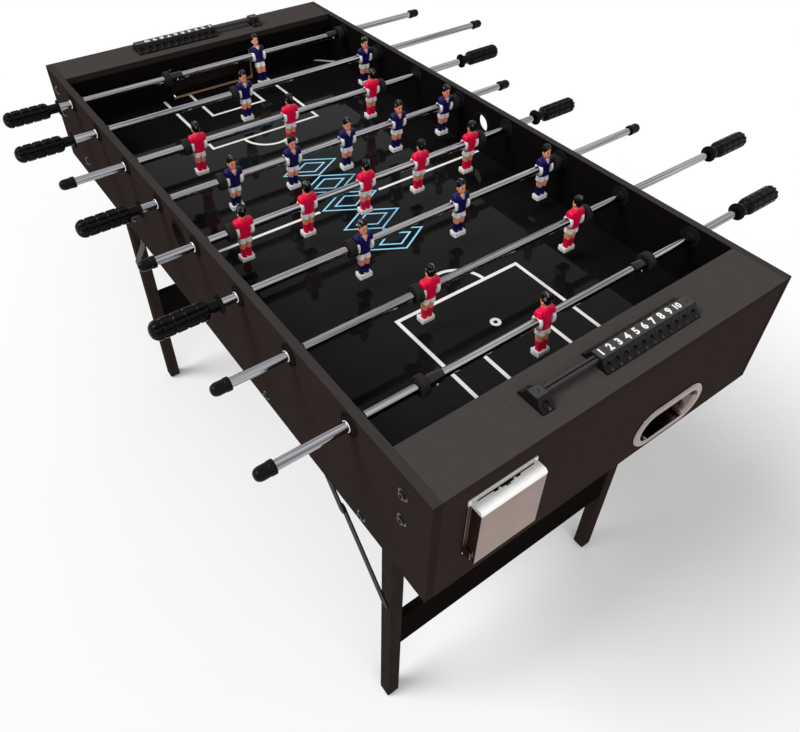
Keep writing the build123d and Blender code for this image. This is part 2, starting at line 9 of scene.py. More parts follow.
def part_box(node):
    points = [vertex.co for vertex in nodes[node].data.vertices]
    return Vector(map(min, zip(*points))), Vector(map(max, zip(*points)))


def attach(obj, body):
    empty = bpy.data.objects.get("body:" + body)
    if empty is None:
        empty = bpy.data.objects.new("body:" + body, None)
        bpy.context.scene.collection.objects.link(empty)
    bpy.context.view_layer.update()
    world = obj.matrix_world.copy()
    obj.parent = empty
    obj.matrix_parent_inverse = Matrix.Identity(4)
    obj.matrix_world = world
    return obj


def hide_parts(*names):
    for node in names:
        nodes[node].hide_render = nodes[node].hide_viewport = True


# The looks of a foosball table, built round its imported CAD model. Shapes are drawn in millimetres
# and become metres when they are made into pieces. X runs along the rods, the near end faces -Y.

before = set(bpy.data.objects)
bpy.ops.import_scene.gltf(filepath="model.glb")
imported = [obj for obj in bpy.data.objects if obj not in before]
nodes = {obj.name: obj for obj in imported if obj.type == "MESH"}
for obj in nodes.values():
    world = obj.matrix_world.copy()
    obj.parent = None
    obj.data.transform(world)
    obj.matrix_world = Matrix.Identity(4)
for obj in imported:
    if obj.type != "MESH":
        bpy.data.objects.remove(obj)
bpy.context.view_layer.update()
scene = bpy.context.scene

MM = 0.001

# Each rod from the far end to the near end: men, side of the grip, way the men face, turn about X
RODS = [
    (1, -1, -1, -15.0),
    (2, -1, -1, 2.0),
    (3, 1, 1, 3.0),
    (5, -1, -1, 4.0),
    (5, 1, 1, 3.0),
    (3, -1, -1, -1.0),
    (2, 1, 1, 2.0),
    (1, 1, 1, -5.0),
]
NAVY_RODS = (1, 2, 4, 6)
MAN_SPACING = {1: 0.0, 2: 278.0, 3: 181.0, 5: 109.0}

# Places read from the CAD model, in millimetres
cabinet_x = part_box("side_panel_right")[1].x / MM
inner_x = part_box("side_panel_right")[0].x / MM
cabinet_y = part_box("side_panel_right")[1].y / MM
top_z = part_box("side_panel_right")[1].z / MM
field_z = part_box("playfield")[1].z / MM
rod_z = (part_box("rod_1_bar")[0].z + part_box("rod_1_bar")[1].z) / 2 / MM
wall_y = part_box("playfield")[1].y / MM
counter_y = (wall_y + cabinet_y) / 2


def box_corners(name):
    """The low and the high corner of a CAD node's box, in millimetres."""
    return [Vector(corner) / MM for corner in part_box(name)]


# Node trees
def node(tree, kind, inputs=None, **settings):
    """A node with its settings, each input set to a value or joined to another node's output."""
    made = tree.nodes.new(kind)
    for name, value in settings.items():
        setattr(made, name, value)
    for name, value in (inputs or {}).items():
        if isinstance(value, bpy.types.NodeSocket):
            tree.links.new(value, made.inputs[name])
        else:
            made.inputs[name].default_value = value
    return made


def calc(operation, *values, clamp=False):
    """The result of a Math node, in the tree of the outputs that it works on."""
    tree = next(value.id_data for value in values if isinstance(value, bpy.types.NodeSocket))
    inputs = dict(enumerate(values))
    return node(tree, "ShaderNodeMath", inputs, operation=operation, use_clamp=clamp).outputs[0]


def plus(first, second):
    return calc("ADD", first, second)


def minus(first, second):
    return calc("SUBTRACT", first, second)


def times(first, second):
    return calc("MULTIPLY", first, second)


def ramp(value, low, high, to_low=0.0, to_high=1.0, soft=False):
    """A value carried from one range to another and held at its ends."""
    ways = {"Value": value, "From Min": low, "From Max": high, "To Min": to_low, "To Max": to_high}
    kind = "SMOOTHSTEP" if soft else "LINEAR"
    return node(value.id_data, "ShaderNodeMapRange", ways, interpolation_type=kind).outputs[0]


def blend(share, first, second):
    """A colour between two others."""
    return node(share.id_data, "ShaderNodeMix", {0: share, 6: first, 7: second}, data_type="RGBA").outputs[2]


def object_place(tree):
    """The place on the piece, in metres, along X, Y and Z."""
    return node(tree, "ShaderNodeTexCoord").outputs["Object"]


def along_axes(tree):
    """The same place, as three outputs named X, Y and Z."""
    return node(tree, "ShaderNodeSeparateXYZ", {0: object_place(tree)}).outputs


def noise(tree, scale, stretch=(1, 1, 1), detail=3.0, rough=0.55):
    """Even noise over the piece. A stretch below one draws it out along that axis."""
    mapped = node(tree, "ShaderNodeMapping", {"Vector": object_place(tree), "Scale": stretch})
    ways = {"Vector": mapped.outputs[0], "Scale": scale, "Detail": detail, "Roughness": rough}
    return node(tree, "ShaderNodeTexNoise", ways).outputs["Fac"]


def shader(name, **sockets):
    """A material, its tree and its Principled shader, with the sockets that are even all over."""
    material = bpy.data.materials.new(name)
    material.use_nodes = True
    tree = material.node_tree
    surface = tree.nodes["Principled BSDF"]
    for socket, value in sockets.items():
        surface.inputs[socket.replace("_", " ")].default_value = value
    return material, tree, surface


def join(surface, **outputs):
    """Joins what the tree works out to sockets of its shader."""
    for socket, output in outputs.items():
        surface.id_data.links.new(output, surface.inputs[socket.replace("_", " ")])


def emboss(surface, height, strength, depth=0.0004):
    """Gives the surface fine relief."""
    ways = {"Height": height, "Strength": strength, "Distance": depth}
    relief = node(surface.id_data, "ShaderNodeBump", ways)
    join(surface, Normal=relief.outputs[0])


def rgba(colour):
    return (*colour, 1.0)


def finish(name, dark, light, scale, rough, bump, bump_scale=2200, stretch=(1, 1, 1), shine=0.5, metal=0.0):
    """A finish whose colour, roughness and fine relief all vary with noise."""
    material, tree, surface = shader(name, Specular_IOR_Level=shine, Metallic=metal)
    tone = ramp(noise(tree, scale, stretch), 0.3, 0.7)
    fine = noise(tree, bump_scale, stretch, detail=5.0)
    colour = blend(tone, rgba(dark), rgba(light))
    join(surface, Base_Color=colour, Roughness=ramp(fine, 0.25, 0.75, *rough))
    emboss(surface, fine, bump)
    return material


def laminate(name, stretch, tone, top, inside=0.0):
    """Matte grained laminate. The faces inside the table have a tone of their own, and the top faces a
    lighter one, a painted sheen of the light from above.
    """
    material, tree, surface = shader(name, Specular_IOR_Level=0.0)
    place = along_axes(tree)
    grain = ramp(noise(tree, 700, stretch), 0.3, 0.7)

    def grained(middle):
        return blend(grain, rgba([0.9 * c for c in middle]), rgba([1.1 * c for c in middle]))

    within = calc("LESS_THAN", calc("ABSOLUTE", place["X"]), inside * MM)
    colour = blend(within, grained(tone), blend(grain, *INSIDE_BLACK))
    # Painted sheen: the top faces take the lighter top tone
    upper = calc("GREATER_THAN", place["Z"], (top_z - 0.3) * MM)
    colour = blend(upper, colour, grained(top))
    join(surface, Base_Color=colour, Roughness=ramp(grain, 0.0, 1.0, 0.5, 0.58))
    emboss(surface, noise(tree, 1500, stretch), 0.15)
    return material


# Black laminate of the walls round the field, darker and lighter along its grain
INSIDE_BLACK = (0.0045, 0.0035, 0.0035, 1), (0.0065, 0.0052, 0.005, 1)
# Boards have a fine embossed grain that runs along their length
ALONG_X, ALONG_Y, ALONG_Z = (0.06, 1, 1), (1, 0.06, 1), (1, 1, 0.05)
# Painted light and shade: the side panels' laminate is darker and the end panels' lighter, to even out how
# the lamps fall on one laminate; the second tone of each, for its top faces, is a painted sheen
side_laminate = laminate(
    "laminate_along_table", ALONG_Y, (0.0235, 0.0175, 0.0156), (0.042, 0.037, 0.0355), inner_x + 0.3
)
cross_laminate = laminate("laminate_across_table", ALONG_X, (0.0300, 0.0224, 0.0200), (0.055, 0.048, 0.046))
ledge_laminate = laminate("laminate_on_ledges", ALONG_X, (0.0270, 0.0200, 0.0180), (0.057, 0.050, 0.048))
# Half the gap between the legs of a frame, in metres
BETWEEN_LEGS = 0.2418


def stained_frame(name, dark, light):
    """Stained legs with their grain upright, and rails between them with their grain along X, darker as
    painted shade under the table.
    """
    material, tree, surface = shader(name, Specular_IOR_Level=0.0)
    between = calc("LESS_THAN", calc("ABSOLUTE", along_axes(tree)["X"]), BETWEEN_LEGS)
    legs = blend(ramp(noise(tree, 420, ALONG_Z), 0.3, 0.7), rgba(dark), rgba(light))
    grain = ramp(noise(tree, 420, (0.05, 1, 1)), 0.3, 0.7)
    # Painted shade: the rails between the legs are darker, as the shade under the table
    rails = blend(grain, (0.0045, 0.0036, 0.0034, 1), (0.0075, 0.006, 0.0056, 1))
    rough = ramp(noise(tree, 900), 0.25, 0.75, 0.42, 0.58)
    join(surface, Base_Color=blend(between, legs, rails), Roughness=rough)
    emboss(surface, noise(tree, 1600, ALONG_Z), 0.3)
    return material


leg_finish = stained_frame("leg_stain_and_rail_shade", (0.0205, 0.0148, 0.0127), (0.031, 0.0223, 0.0194))
raw_wood = finish(
    "raw_softwood", (0.30, 0.17, 0.085), (0.46, 0.29, 0.16), 160, (0.6, 0.8), 0.4, 640, stretch=ALONG_X
)
# Painted shade: the ball troughs behind the goals are near black, the shade inside the cabinet
dark_board = finish(
    "dark_trough_board", (0.011, 0.0075, 0.0055), (0.019, 0.013, 0.0095), 900, (0.7, 0.85), 0.3, 3600,
    shine=0.0,
)

# Metals
# Painted reflections: the rods' chrome has dark and light streaks along them in its colour
rod_chrome = finish(
    "rod_chrome", (0.05, 0.049, 0.056), (0.52, 0.515, 0.54), 420, (0.05, 0.11), 0.01, 900,
    stretch=(0.008, 1, 1), metal=1.0,
)
plate_chrome = finish(
    "bright_plating", (0.68, 0.66, 0.64), (0.80, 0.78, 0.76), 45, (0.08, 0.16), 0.02, 500, metal=1.0
)
black_steel = finish(
    "black_steel", (0.004, 0.004, 0.004), (0.009, 0.0085, 0.008), 240, (0.36, 0.5), 0.1, 1200, shine=0.06
)
bolt_steel = finish(
    "blackened_bolt_steel", (0.016, 0.015, 0.015), (0.042, 0.039, 0.038), 500, (0.25, 0.42), 0.1, 2000,
    metal=0.8,
)

# Plastics and rubber
grip_plastic = finish(
    "grip_black_plastic", (0.002, 0.002, 0.002), (0.005, 0.0045, 0.0045), 300, (0.1, 0.16), 0.02, shine=0.07
)
bush_plastic = finish(
    "bush_black_plastic", (0.005, 0.005, 0.005), (0.010, 0.0095, 0.0095), 350, (0.34, 0.46), 0.05, shine=0.08
)
matte_plastic = finish(
    "matte_black_plastic", (0.007, 0.0065, 0.006), (0.013, 0.012, 0.011), 350, (0.5, 0.6), 0.05, shine=0.0
)
collar_plastic = finish(
    "glossy_black_plastic", (0.003, 0.003, 0.003), (0.007, 0.0065, 0.0065), 300, (0.08, 0.14), 0.02,
    shine=0.3,
)
bumper_rubber = finish(
    "bumper_rubber", (0.011, 0.0095, 0.009), (0.018, 0.016, 0.015), 260, (0.6, 0.72), 0.15, 1800, shine=0.1
)
tip_rubber = finish(
    "tip_rubber", (0.003, 0.003, 0.0032), (0.006, 0.006, 0.0062), 260, (0.16, 0.24), 0.03, 1800, shine=0.07
)
counter_plastic = finish(
    "counter_black_plastic", (0.005, 0.0045, 0.004), (0.009, 0.008, 0.0075), 330, (0.2, 0.28), 0.02,
    shine=0.12,
)
label_plastic = finish(
    "counter_grey_top", (0.042, 0.040, 0.0385), (0.054, 0.0515, 0.050), 420, (0.34, 0.44), 0.03, shine=0.1
)
number_paint = finish(
    "number_white_paint", (0.78, 0.77, 0.75), (0.88, 0.87, 0.85), 900, (0.4, 0.5), 0.03, 3600
)

# Paints of the men
skin_paint = finish(
    "figure_skin_paint", (0.72, 0.265, 0.15), (0.86, 0.35, 0.205), 260, (0.32, 0.45), 0.04, 1500
)
white_paint = finish(
    "figure_white_paint", (0.78, 0.77, 0.76), (0.88, 0.87, 0.86), 300, (0.28, 0.4), 0.04, 1500
)
navy_paint = finish(
    "figure_navy_paint", (0.0065, 0.005, 0.055), (0.0105, 0.0085, 0.085), 240, (0.22, 0.32), 0.04, 1500,
    shine=0.12,
)
red_paint = finish(
    "figure_red_paint", (0.66, 0.003, 0.042), (0.80, 0.006, 0.062), 240, (0.22, 0.32), 0.04, 1500, shine=0.15
)
# The crown of a man's head starts this far above the rod, in millimetres
CROWN = 32.0


def hair_with_painted_highlights():
    """Glossy black hair, with pale strands on the crown, from front to back: painted highlights."""
    material, tree, surface = shader("figure_hair_paint", Specular_IOR_Level=0.12)
    crown = calc("GREATER_THAN", along_axes(tree)["Z"], (rod_z + CROWN) * MM)
    # Painted highlights: pale strands on the crown only, where light falls from above
    highlight_strand = ramp(noise(tree, 520, (1, 0.16, 0.3), detail=1.0), 0.585, 0.64)
    dark = blend(noise(tree, 500), (0.0022, 0.002, 0.002, 1), (0.005, 0.0045, 0.0045, 1))
    colour = blend(times(crown, highlight_strand), dark, (0.15, 0.142, 0.138, 1))
    join(surface, Base_Color=colour, Roughness=ramp(highlight_strand, 0.0, 1.0, 0.12, 0.3))
    return material


hair_paint = hair_with_painted_highlights()


def placed_metal(name, inner, outer, rough, edge, distance, metal=1.0):
    """Plating whose colour and mirroring change where a distance, worked out of the place, meets an edge."""
    material, tree, surface = shader(name, Metallic=1.0)
    part = ramp(distance(along_axes(tree)), *edge, soft=True)
    if metal < 1.0:
        join(surface, Metallic=ramp(part, 0.0, 1.0, 1.0, metal))
    cloud = ramp(noise(tree, 30, detail=2.0), 0.3, 0.7, 0.92, 1.08)
    tint = {0: blend(part, rgba(inner), rgba(outer)), "Scale": cloud}
    tint = node(tree, "ShaderNodeVectorMath", tint, operation="SCALE").outputs[0]
    fine = ramp(noise(tree, 400, detail=4.0), 0.25, 0.75, *rough)
    join(surface, Base_Color=tint, Roughness=fine)
    return material


# Edges in metres: the top of the ashtray, and the lip of the ball return cups
ASHTRAY_TOP, CUP_LIP = (0.7655, 0.7675), (0.6050, 0.6075)
# Painted light on the ashtray: its top is near white, a painted highlight, and its sides a dark pinkish
# brown, a painted reflection
ashtray_metal = placed_metal(
    "ashtray_plated_sheet", (0.245, 0.168, 0.132), (0.95, 0.94, 0.93), (0.18, 0.25), ASHTRAY_TOP,
    lambda place: place["Z"], metal=0.45,
)
# Painted shade: the return cups are darker inside their lip
return_chrome = placed_metal(
    "return_cup_plating", (0.17, 0.12, 0.10), (0.31, 0.26, 0.235), (0.1, 0.18), CUP_LIP,
    lambda place: calc("ABSOLUTE", place["Y"]),
)


def line_at(distance, width):
    """A printed line where a distance is near zero."""
    away = calc("ABSOLUTE", distance)
    return ramp(away, width / 2 - 0.0003, width / 2 + 0.0003, 1.0, 0.0)


# Printed marks of the field, in metres from its middle
LINE_WIDTH, HALFWAY_GAP = 0.0058, (0.0605, 0.061)
PENALTY_HALF, PENALTY_FRONT, ARC_RADIUS = 0.115, 0.293, 0.050
GOAL_AREA_HALF, GOAL_AREA_FRONT = 0.058, 0.413
SPOT_PLACE, SPOT_RADIUS, SPOT_LINE, CORNER_REACH = 0.374, 0.0058, 0.005, 0.776
LOZENGE_PITCH, LOZENGE_HALF, LOZENGE_LINE = 0.066, 0.058, 0.1


def field_print():
    """Glossy black field board with white pitch lines and a band of light blue lozenges at its centre."""
    material, tree, surface = shader("field_print", Specular_IOR_Level=0.06)
    place = along_axes(tree)
    across, along = (calc("ABSOLUTE", place[axis]) for axis in "XY")

    def box_line(half, front):
        return line_at(calc("MAXIMUM", minus(across, half), minus(front, along)), LINE_WIDTH)

    def from_spot(centre):
        run = minus(along, centre)
        return calc("SQRT", plus(times(across, across), times(run, run)))

    white = times(line_at(along, LINE_WIDTH), ramp(across, *HALFWAY_GAP))
    arc = line_at(minus(from_spot(PENALTY_FRONT), ARC_RADIUS), LINE_WIDTH)
    arc = times(arc, calc("LESS_THAN", along, PENALTY_FRONT))
    spot = line_at(minus(from_spot(SPOT_PLACE), SPOT_RADIUS), SPOT_LINE)
    corner = minus(plus(across, along), CORNER_REACH)
    corner = line_at(calc("DIVIDE", corner, 2**0.5), LINE_WIDTH)
    penalty_area = box_line(PENALTY_HALF, PENALTY_FRONT)
    goal_area = box_line(GOAL_AREA_HALF, GOAL_AREA_FRONT)
    for mark in (penalty_area, goal_area, arc, spot, corner):
        white = calc("MAXIMUM", white, mark)

    step = plus(calc("DIVIDE", place["Y"], LOZENGE_PITCH), 50.5)
    run = calc("ABSOLUTE", minus(calc("FRACT", step), 0.5))
    reach = plus(calc("DIVIDE", across, LOZENGE_HALF), times(run, 2.0))
    outer, inner = (line_at(minus(reach, size), LOZENGE_LINE) for size in (0.94, 0.52))
    within = calc("LESS_THAN", along, 2.5 * LOZENGE_PITCH)
    blue = times(calc("MAXIMUM", outer, inner), within)
    fill = times(calc("LESS_THAN", reach, 0.94), within)

    tone = ramp(noise(tree, 9, detail=2.0), 0.35, 0.65)
    board = blend(tone, (0.0055, 0.005, 0.005, 1), (0.0075, 0.007, 0.0075, 1))
    board = blend(fill, board, (0.004, 0.009, 0.014, 1))
    board = blend(blue, board, (0.33, 0.70, 0.92, 1))
    ink = ramp(noise(tree, 600), 0.2, 0.8)
    board = blend(white, board, blend(ink, (0.80, 0.78, 0.76, 1), (0.90, 0.89, 0.87, 1)))
    smear = ramp(noise(tree, 14, detail=5.0), 0.3, 0.7, 0.03, 0.08)
    join(surface, Base_Color=board, Roughness=smear)
    emboss(surface, noise(tree, 120), 0.02)
    return material


# The goal's opening: half its width and its height above the field, with a hair's breadth round the cut
GOAL_HALF, GOAL_HEIGHT, CUT_MARGIN = 92.0, 64.0, 0.05


def goal_wall_finish():
    """Black laminate faces, with bare fibreboard where the goal is cut out."""
    material, tree, surface = shader("goal_wall_laminate", Specular_IOR_Level=0.0)
    place = along_axes(tree)
    goal_top, goal_foot = field_z + GOAL_HEIGHT + CUT_MARGIN, field_z - CUT_MARGIN
    cut = calc("LESS_THAN", calc("ABSOLUTE", place["X"]), (GOAL_HALF + CUT_MARGIN) * MM)
    cut = times(cut, calc("LESS_THAN", place["Z"], goal_top * MM))
    cut = times(cut, calc("GREATER_THAN", place["Z"], goal_foot * MM))
    face = blend(noise(tree, 700, ALONG_X), *INSIDE_BLACK)
    bare = blend(noise(tree, 900), (0.30, 0.17, 0.08, 1), (0.50, 0.31, 0.16, 1))
    rough = ramp(cut, 0.0, 1.0, 0.45, 0.8)
    join(surface, Base_Color=blend(cut, face, bare), Roughness=rough)
    emboss(surface, noise(tree, 1500), 0.3, 0.0003)
    return material


field_finish = field_print()
goal_finish = goal_wall_finish()


def put(name, data):
    """An object in the scene, at its origin."""
    made = bpy.data.objects.new(name, data)
    scene.collection.objects.link(made)
    return made


# Shapes in millimetres
class Form:
    """Points, the faces between them, and the number of each face's finish."""

    def __init__(self):
        self.points = np.zeros((0, 3))
        self.faces = []
        self.slots = []

    def add(self, shape, slot=0, matrix=None):
        """Adds a shape with one finish, or with a list that gives each face's own."""
        points, faces = shape
        points = np.array(points, float)
        if matrix is not None:
            turn = np.array(matrix)
            points = points @ turn[:3, :3].T + turn[:3, 3]
        start = len(self.points)
        self.points = np.vstack((self.points, points))
        self.faces += [tuple(start + i for i in face) for face in faces]
        self.slots += slot if isinstance(slot, list) else [slot] * len(faces)
        return self

    def piece(self, name, *finishes, sharp=38.0):
        """A finished piece at the origin, in metres."""
        mesh = bpy.data.meshes.new(name)
        mesh.from_pydata((self.points * MM).tolist(), [], self.faces)
        mesh.polygons.foreach_set("material_index", self.slots)
        for material in finishes:
            mesh.materials.append(material)
        outward(mesh)
        mesh.shade_smooth()
        mesh.set_sharp_from_angle(angle=radians(sharp))
        return put(name, mesh)


def outward(mesh):
    """Turns every face of closed shells outwards."""
    shell = bmesh.new()
    shell.from_mesh(mesh)
    bmesh.ops.recalc_face_normals(shell, faces=shell.faces)
    shell.to_mesh(mesh)
    shell.free()


def loft(rings, loop=False):
    """A skin over equal rings, closed by end caps, or joined last to first."""
    rings = np.array(rings, float)
    count, sides = rings.shape[:2]
    faces = []
    for i in range(count if loop else count - 1):
        k = (i + 1) % count
        for j in range(sides):
            n = (j + 1) % sides
            faces.append((i * sides + j, i * sides + n, k * sides + n, k * sides + j))
    if not loop:
        faces.append(tuple(range(sides - 1, -1, -1)))
        faces.append(tuple((count - 1) * sides + j for j in range(sides)))
    return rings.reshape(-1, 3), faces


def eased(rows, per):
    """A smooth run through the rows, with the given number of steps to each span."""
    rows = np.array(rows, float)
    ends = np.vstack((2 * rows[0] - rows[1], rows, 2 * rows[-1] - rows[-2]))
    made = []
    for i in range(len(rows) - 1):
        a, b, c, d = ends[i : i + 4]
        for t in np.arange(per) / per:
            bend = 2 * b + (c - a) * t + (2 * a - 5 * b + 4 * c - d) * t**2
            made.append(0.5 * (bend + (3 * b - a - 3 * c + d) * t**3))
    made.append(rows[-1])
    return np.array(made)


def round_corners(outline, radius, closed=False, steps=3):
    """An outline whose corners are rounded off."""
    outline = np.array(outline, float)
    count = len(outline)
    made = []
    for i in range(count):
        if not closed and i in (0, count - 1):
            made.append(outline[i])
            continue
        corner, before, after = outline[i], outline[i - 1], outline[(i + 1) % count]
        into, out = before - corner, after - corner
        into *= min(radius, 0.45 * np.linalg.norm(into)) / np.linalg.norm(into)
        out *= min(radius, 0.45 * np.linalg.norm(out)) / np.linalg.norm(out)
        for t in np.arange(steps + 1) / steps:
            made.append(corner + into * (1 - t) ** 2 + out * t**2)
    return np.array(made)


def full_turn(count):
    """Even angles of one full turn."""
    return np.arange(count) * 2 * pi / count


def turned(profile, segments=40, loop=False):
    """A body turned about X from (x, radius) steps. A loop has a bore through it."""
    rings = [[(x, r * cos(a), r * sin(a)) for a in full_turn(segments)] for x, r in profile]
    return loft(rings, loop)


def bored(profile, rounding, segments=40):
    """A turned ring with a bore through it and rounded edges."""
    return turned(round_corners(profile, rounding, closed=True, steps=2), segments, loop=True)


def tile(half_length, half_width, rounding, low, high):
    """A low flat tile with rounded corners, about its middle."""
    outline = [(-half_length, -half_width), (half_length, -half_width)]
    outline += [(half_length, half_width), (-half_length, half_width)]
    outline = round_corners(outline, rounding, closed=True)
    return loft([[(x, y, z) for x, y in outline] for z in (low, high)])


def egg(stations, sides=24, square=2.2, per=4):
    """A rounded body over stations of (z, middle x, middle y, half width, half depth)."""
    angles = full_turn(sides)
    flat_x = np.sign(np.cos(angles)) * np.abs(np.cos(angles)) ** (2 / square)
    flat_y = np.sign(np.sin(angles)) * np.abs(np.sin(angles)) ** (2 / square)
    rings = []
    for z, x, y, *halves in eased(stations, per):
        wide, deep = (max(half, 0.02) for half in halves)
        rings.append(np.stack((x + wide * flat_x, y + deep * flat_y, np.full(sides, z)), axis=1))
    return loft(rings)


def at(x, y, z, turn_x=0.0, turn_z=0.0):
    """A place in millimetres, turned about Z and then about X."""
    turn = Matrix.Rotation(radians(turn_x), 4, "X") @ Matrix.Rotation(radians(turn_z), 4, "Z")
    return Matrix.Translation((x, y, z)) @ turn


def facing(side):
    """The turn about Z that points a shape along +X to a side."""
    return 0.0 if side > 0 else 180.0


# Geometry Nodes trees
def node_tree(name, sockets):
    """A geometry tree with named inputs, and its group input."""
    tree = bpy.data.node_groups.new(name, "GeometryNodeTree")
    tree.interface.new_socket("Geometry", in_out="OUTPUT", socket_type="NodeSocketGeometry")
    tree.interface.new_socket("Geometry", in_out="INPUT", socket_type="NodeSocketGeometry")
    for socket, kind in sockets:
        tree.interface.new_socket(socket, in_out="INPUT", socket_type=f"NodeSocket{kind}")
    return tree, node(tree, "NodeGroupInput").outputs


def end_tree(tree, geometry, material):
    """Realizes what the tree made, gives it its finish and puts it out."""
    real = node(tree, "GeometryNodeRealizeInstances", {0: geometry})
    painted = node(tree, "GeometryNodeSetMaterial", {"Geometry": real.outputs[0], "Material": material})
    node(tree, "NodeGroupOutput", {0: painted.outputs[0]})


def grown(name, tree, mesh, values):
    """The plain mesh that a tree makes of a start mesh with these input values."""
    holder = put(name, mesh)
    modifier = holder.modifiers.new(name, "NODES")
    modifier.node_group = tree
    for item in tree.interface.items_tree:
        if item.in_out == "INPUT" and item.name in values:
            modifier[item.identifier] = values[item.name]
    graph = bpy.context.evaluated_depsgraph_get()
    made = bpy.data.meshes.new_from_object(holder.evaluated_get(graph))
    made.name = name
    holder.modifiers.clear()
    bpy.data.objects.remove(holder)
    return made


def ribbed_grip_tree():
    """A rod's grip along X: flange, neck, and a domed body with ribs along it and grooves round it."""
    sizes = ["Length", "Flange Radius", "Flange", "Neck Radius", "Neck", "Radius", "Shoulder", "Dome"]
    sizes += ["Ribs", "Rib Depth", "Bands", "Band Depth"]
    tree, given = node_tree("ribbed_grip", [(s, "Float") for s in sizes] + [("Finish", "Material")])
    along_steps, round_steps = 104, 100
    grid = node(tree, "GeometryNodeMeshGrid", {"Vertices X": along_steps + 1, "Vertices Y": round_steps + 1})
    place = node(tree, "ShaderNodeSeparateXYZ", {0: node(tree, "GeometryNodeInputPosition").outputs[0]})
    share = plus(place.outputs["X"], 0.5)
    around = plus(place.outputs["Y"], 0.5)
    x = times(ramp(share, 1 / along_steps, 1.0), given["Length"])
    body_start = plus(given["Flange"], given["Neck"])
    shoulder = calc("DIVIDE", minus(x, body_start), given["Shoulder"], clamp=True)
    left = minus(1.0, shoulder)
    rounding = calc("SQRT", minus(1.0, times(left, left)))
    swell = times(minus(given["Radius"], given["Neck Radius"]), rounding)
    radius = plus(given["Neck Radius"], swell)
    dome_start = minus(given["Length"], given["Dome"])
    dome = calc("DIVIDE", minus(x, dome_start), given["Dome"], clamp=True)
    closing = calc("SQRT", calc("SUBTRACT", 1.0, times(dome, dome), clamp=True))
    rib = calc("FRACT", times(around, given["Ribs"]))
    rib = calc("ABSOLUTE", minus(rib, 0.5))
    rib_cut = times(ramp(rib, 0.0, 0.3, 1.0, 0.0, soft=True), given["Rib Depth"])
    body = minus(given["Length"], body_start)
    band = times(calc("DIVIDE", minus(x, body_start), body), given["Bands"])
    band = calc("ABSOLUTE", minus(calc("FRACT", plus(band, 0.5)), 0.5))
    band_cut = times(ramp(band, 0.02, 0.11, 1.0, 0.0, soft=True), given["Band Depth"])
    cut = times(calc("MAXIMUM", rib_cut, band_cut), rounding)
    radius = times(minus(radius, cut), closing)
    on_flange = calc("LESS_THAN", x, given["Flange"])
    flange = times(on_flange, minus(given["Flange Radius"], radius))
    radius = plus(radius, flange)
    radius = times(radius, calc("GREATER_THAN", share, 0.5 / along_steps))
    angle = times(around, 2 * pi)
    spots = {"X": x, "Y": times(radius, calc("COSINE", angle))}
    spots["Z"] = times(radius, calc("SINE", angle))
    spot = node(tree, "ShaderNodeCombineXYZ", spots)
    ways = {"Geometry": grid.outputs["Mesh"], "Position": spot.outputs[0]}
    moved = node(tree, "GeometryNodeSetPosition", ways)
    closed = node(tree, "GeometryNodeMergeByDistance", {"Geometry": moved.outputs[0], "Distance": 0.01})
    end_tree(tree, closed.outputs[0], given["Finish"])
    return tree


def taken(mesh):
    """The points and faces of a mesh, which is then removed."""
    shape = [v.co[:] for v in mesh.vertices], [tuple(p.vertices) for p in mesh.polygons]
    bpy.data.meshes.remove(mesh)
    return shape


def spread_tree():
    """Copies of one piece on the points of a mesh, each turned as its point says."""
    tree, given = node_tree("copies_on_points", [("Piece", "Object"), ("Finish", "Material")])
    piece = node(tree, "GeometryNodeObjectInfo", {"Object": given["Piece"]})
    turn = node(tree, "GeometryNodeInputNamedAttribute", {"Name": "turn"}, data_type="FLOAT_VECTOR")
    turn = node(tree, "FunctionNodeEulerToRotation", {0: turn.outputs[0]})
    ways = {"Points": given["Geometry"], "Instance": piece.outputs["Geometry"], "Rotation": turn.outputs[0]}
    copies = node(tree, "GeometryNodeInstanceOnPoints", ways)
    end_tree(tree, copies.outputs[0], given["Finish"])
    return tree


grip_tree = ribbed_grip_tree()
copy_tree = spread_tree()


def spread(name, shape, places, material, body, slot, stands_for=()):
    """One piece that holds copies of a shape at (place, turn) pairs in millimetres and degrees."""
    pattern = Form().add(shape).piece(f"{name}_pattern", material)
    points = bpy.data.meshes.new(name)
    points.from_pydata([Vector(place) * MM for place, turn in places], [], [])
    turns = points.attributes.new("turn", "FLOAT_VECTOR", "POINT")
    turns.data.foreach_set("vector", [radians(v) for place, turn in places for v in turn])
    mesh = grown(name, copy_tree, points, {"Piece": pattern, "Finish": material})
    bpy.data.objects.remove(pattern)
    if "turn" in mesh.attributes:
        mesh.attributes.remove(mesh.attributes["turn"])
    return carried(put(name, mesh), body, slot, *stands_for)


def carried(piece, body, slot, *stands_for):
    """Puts a piece on its body and hides the CAD nodes that it stands for. The slot, a finish's name, is not
    used.
    """
    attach(piece, body)
    if stands_for:
        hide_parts(*stands_for)
    return piece


# Player figure: feet down, facing +Y, the rod along X through its fists
SKIN, HAIR, JERSEY, WHITE = range(4)
HEAD = [
    (18.6, 0, 2.6, 2.1, 2.4), (20.0, 0, 2.2, 3.8, 4.3), (22.6, 0, 1.4, 5.2, 5.8), (26.0, 0, 0.8, 5.9, 6.8),
    (30.4, 0, 0.3, 6.3, 7.1), (35.0, 0, 0.0, 6.0, 6.7), (38.8, 0, -0.2, 4.6, 5.0), (40.4, 0, -0.3, 2.0, 2.2),
]
HEAD = eased(HEAD, 3)


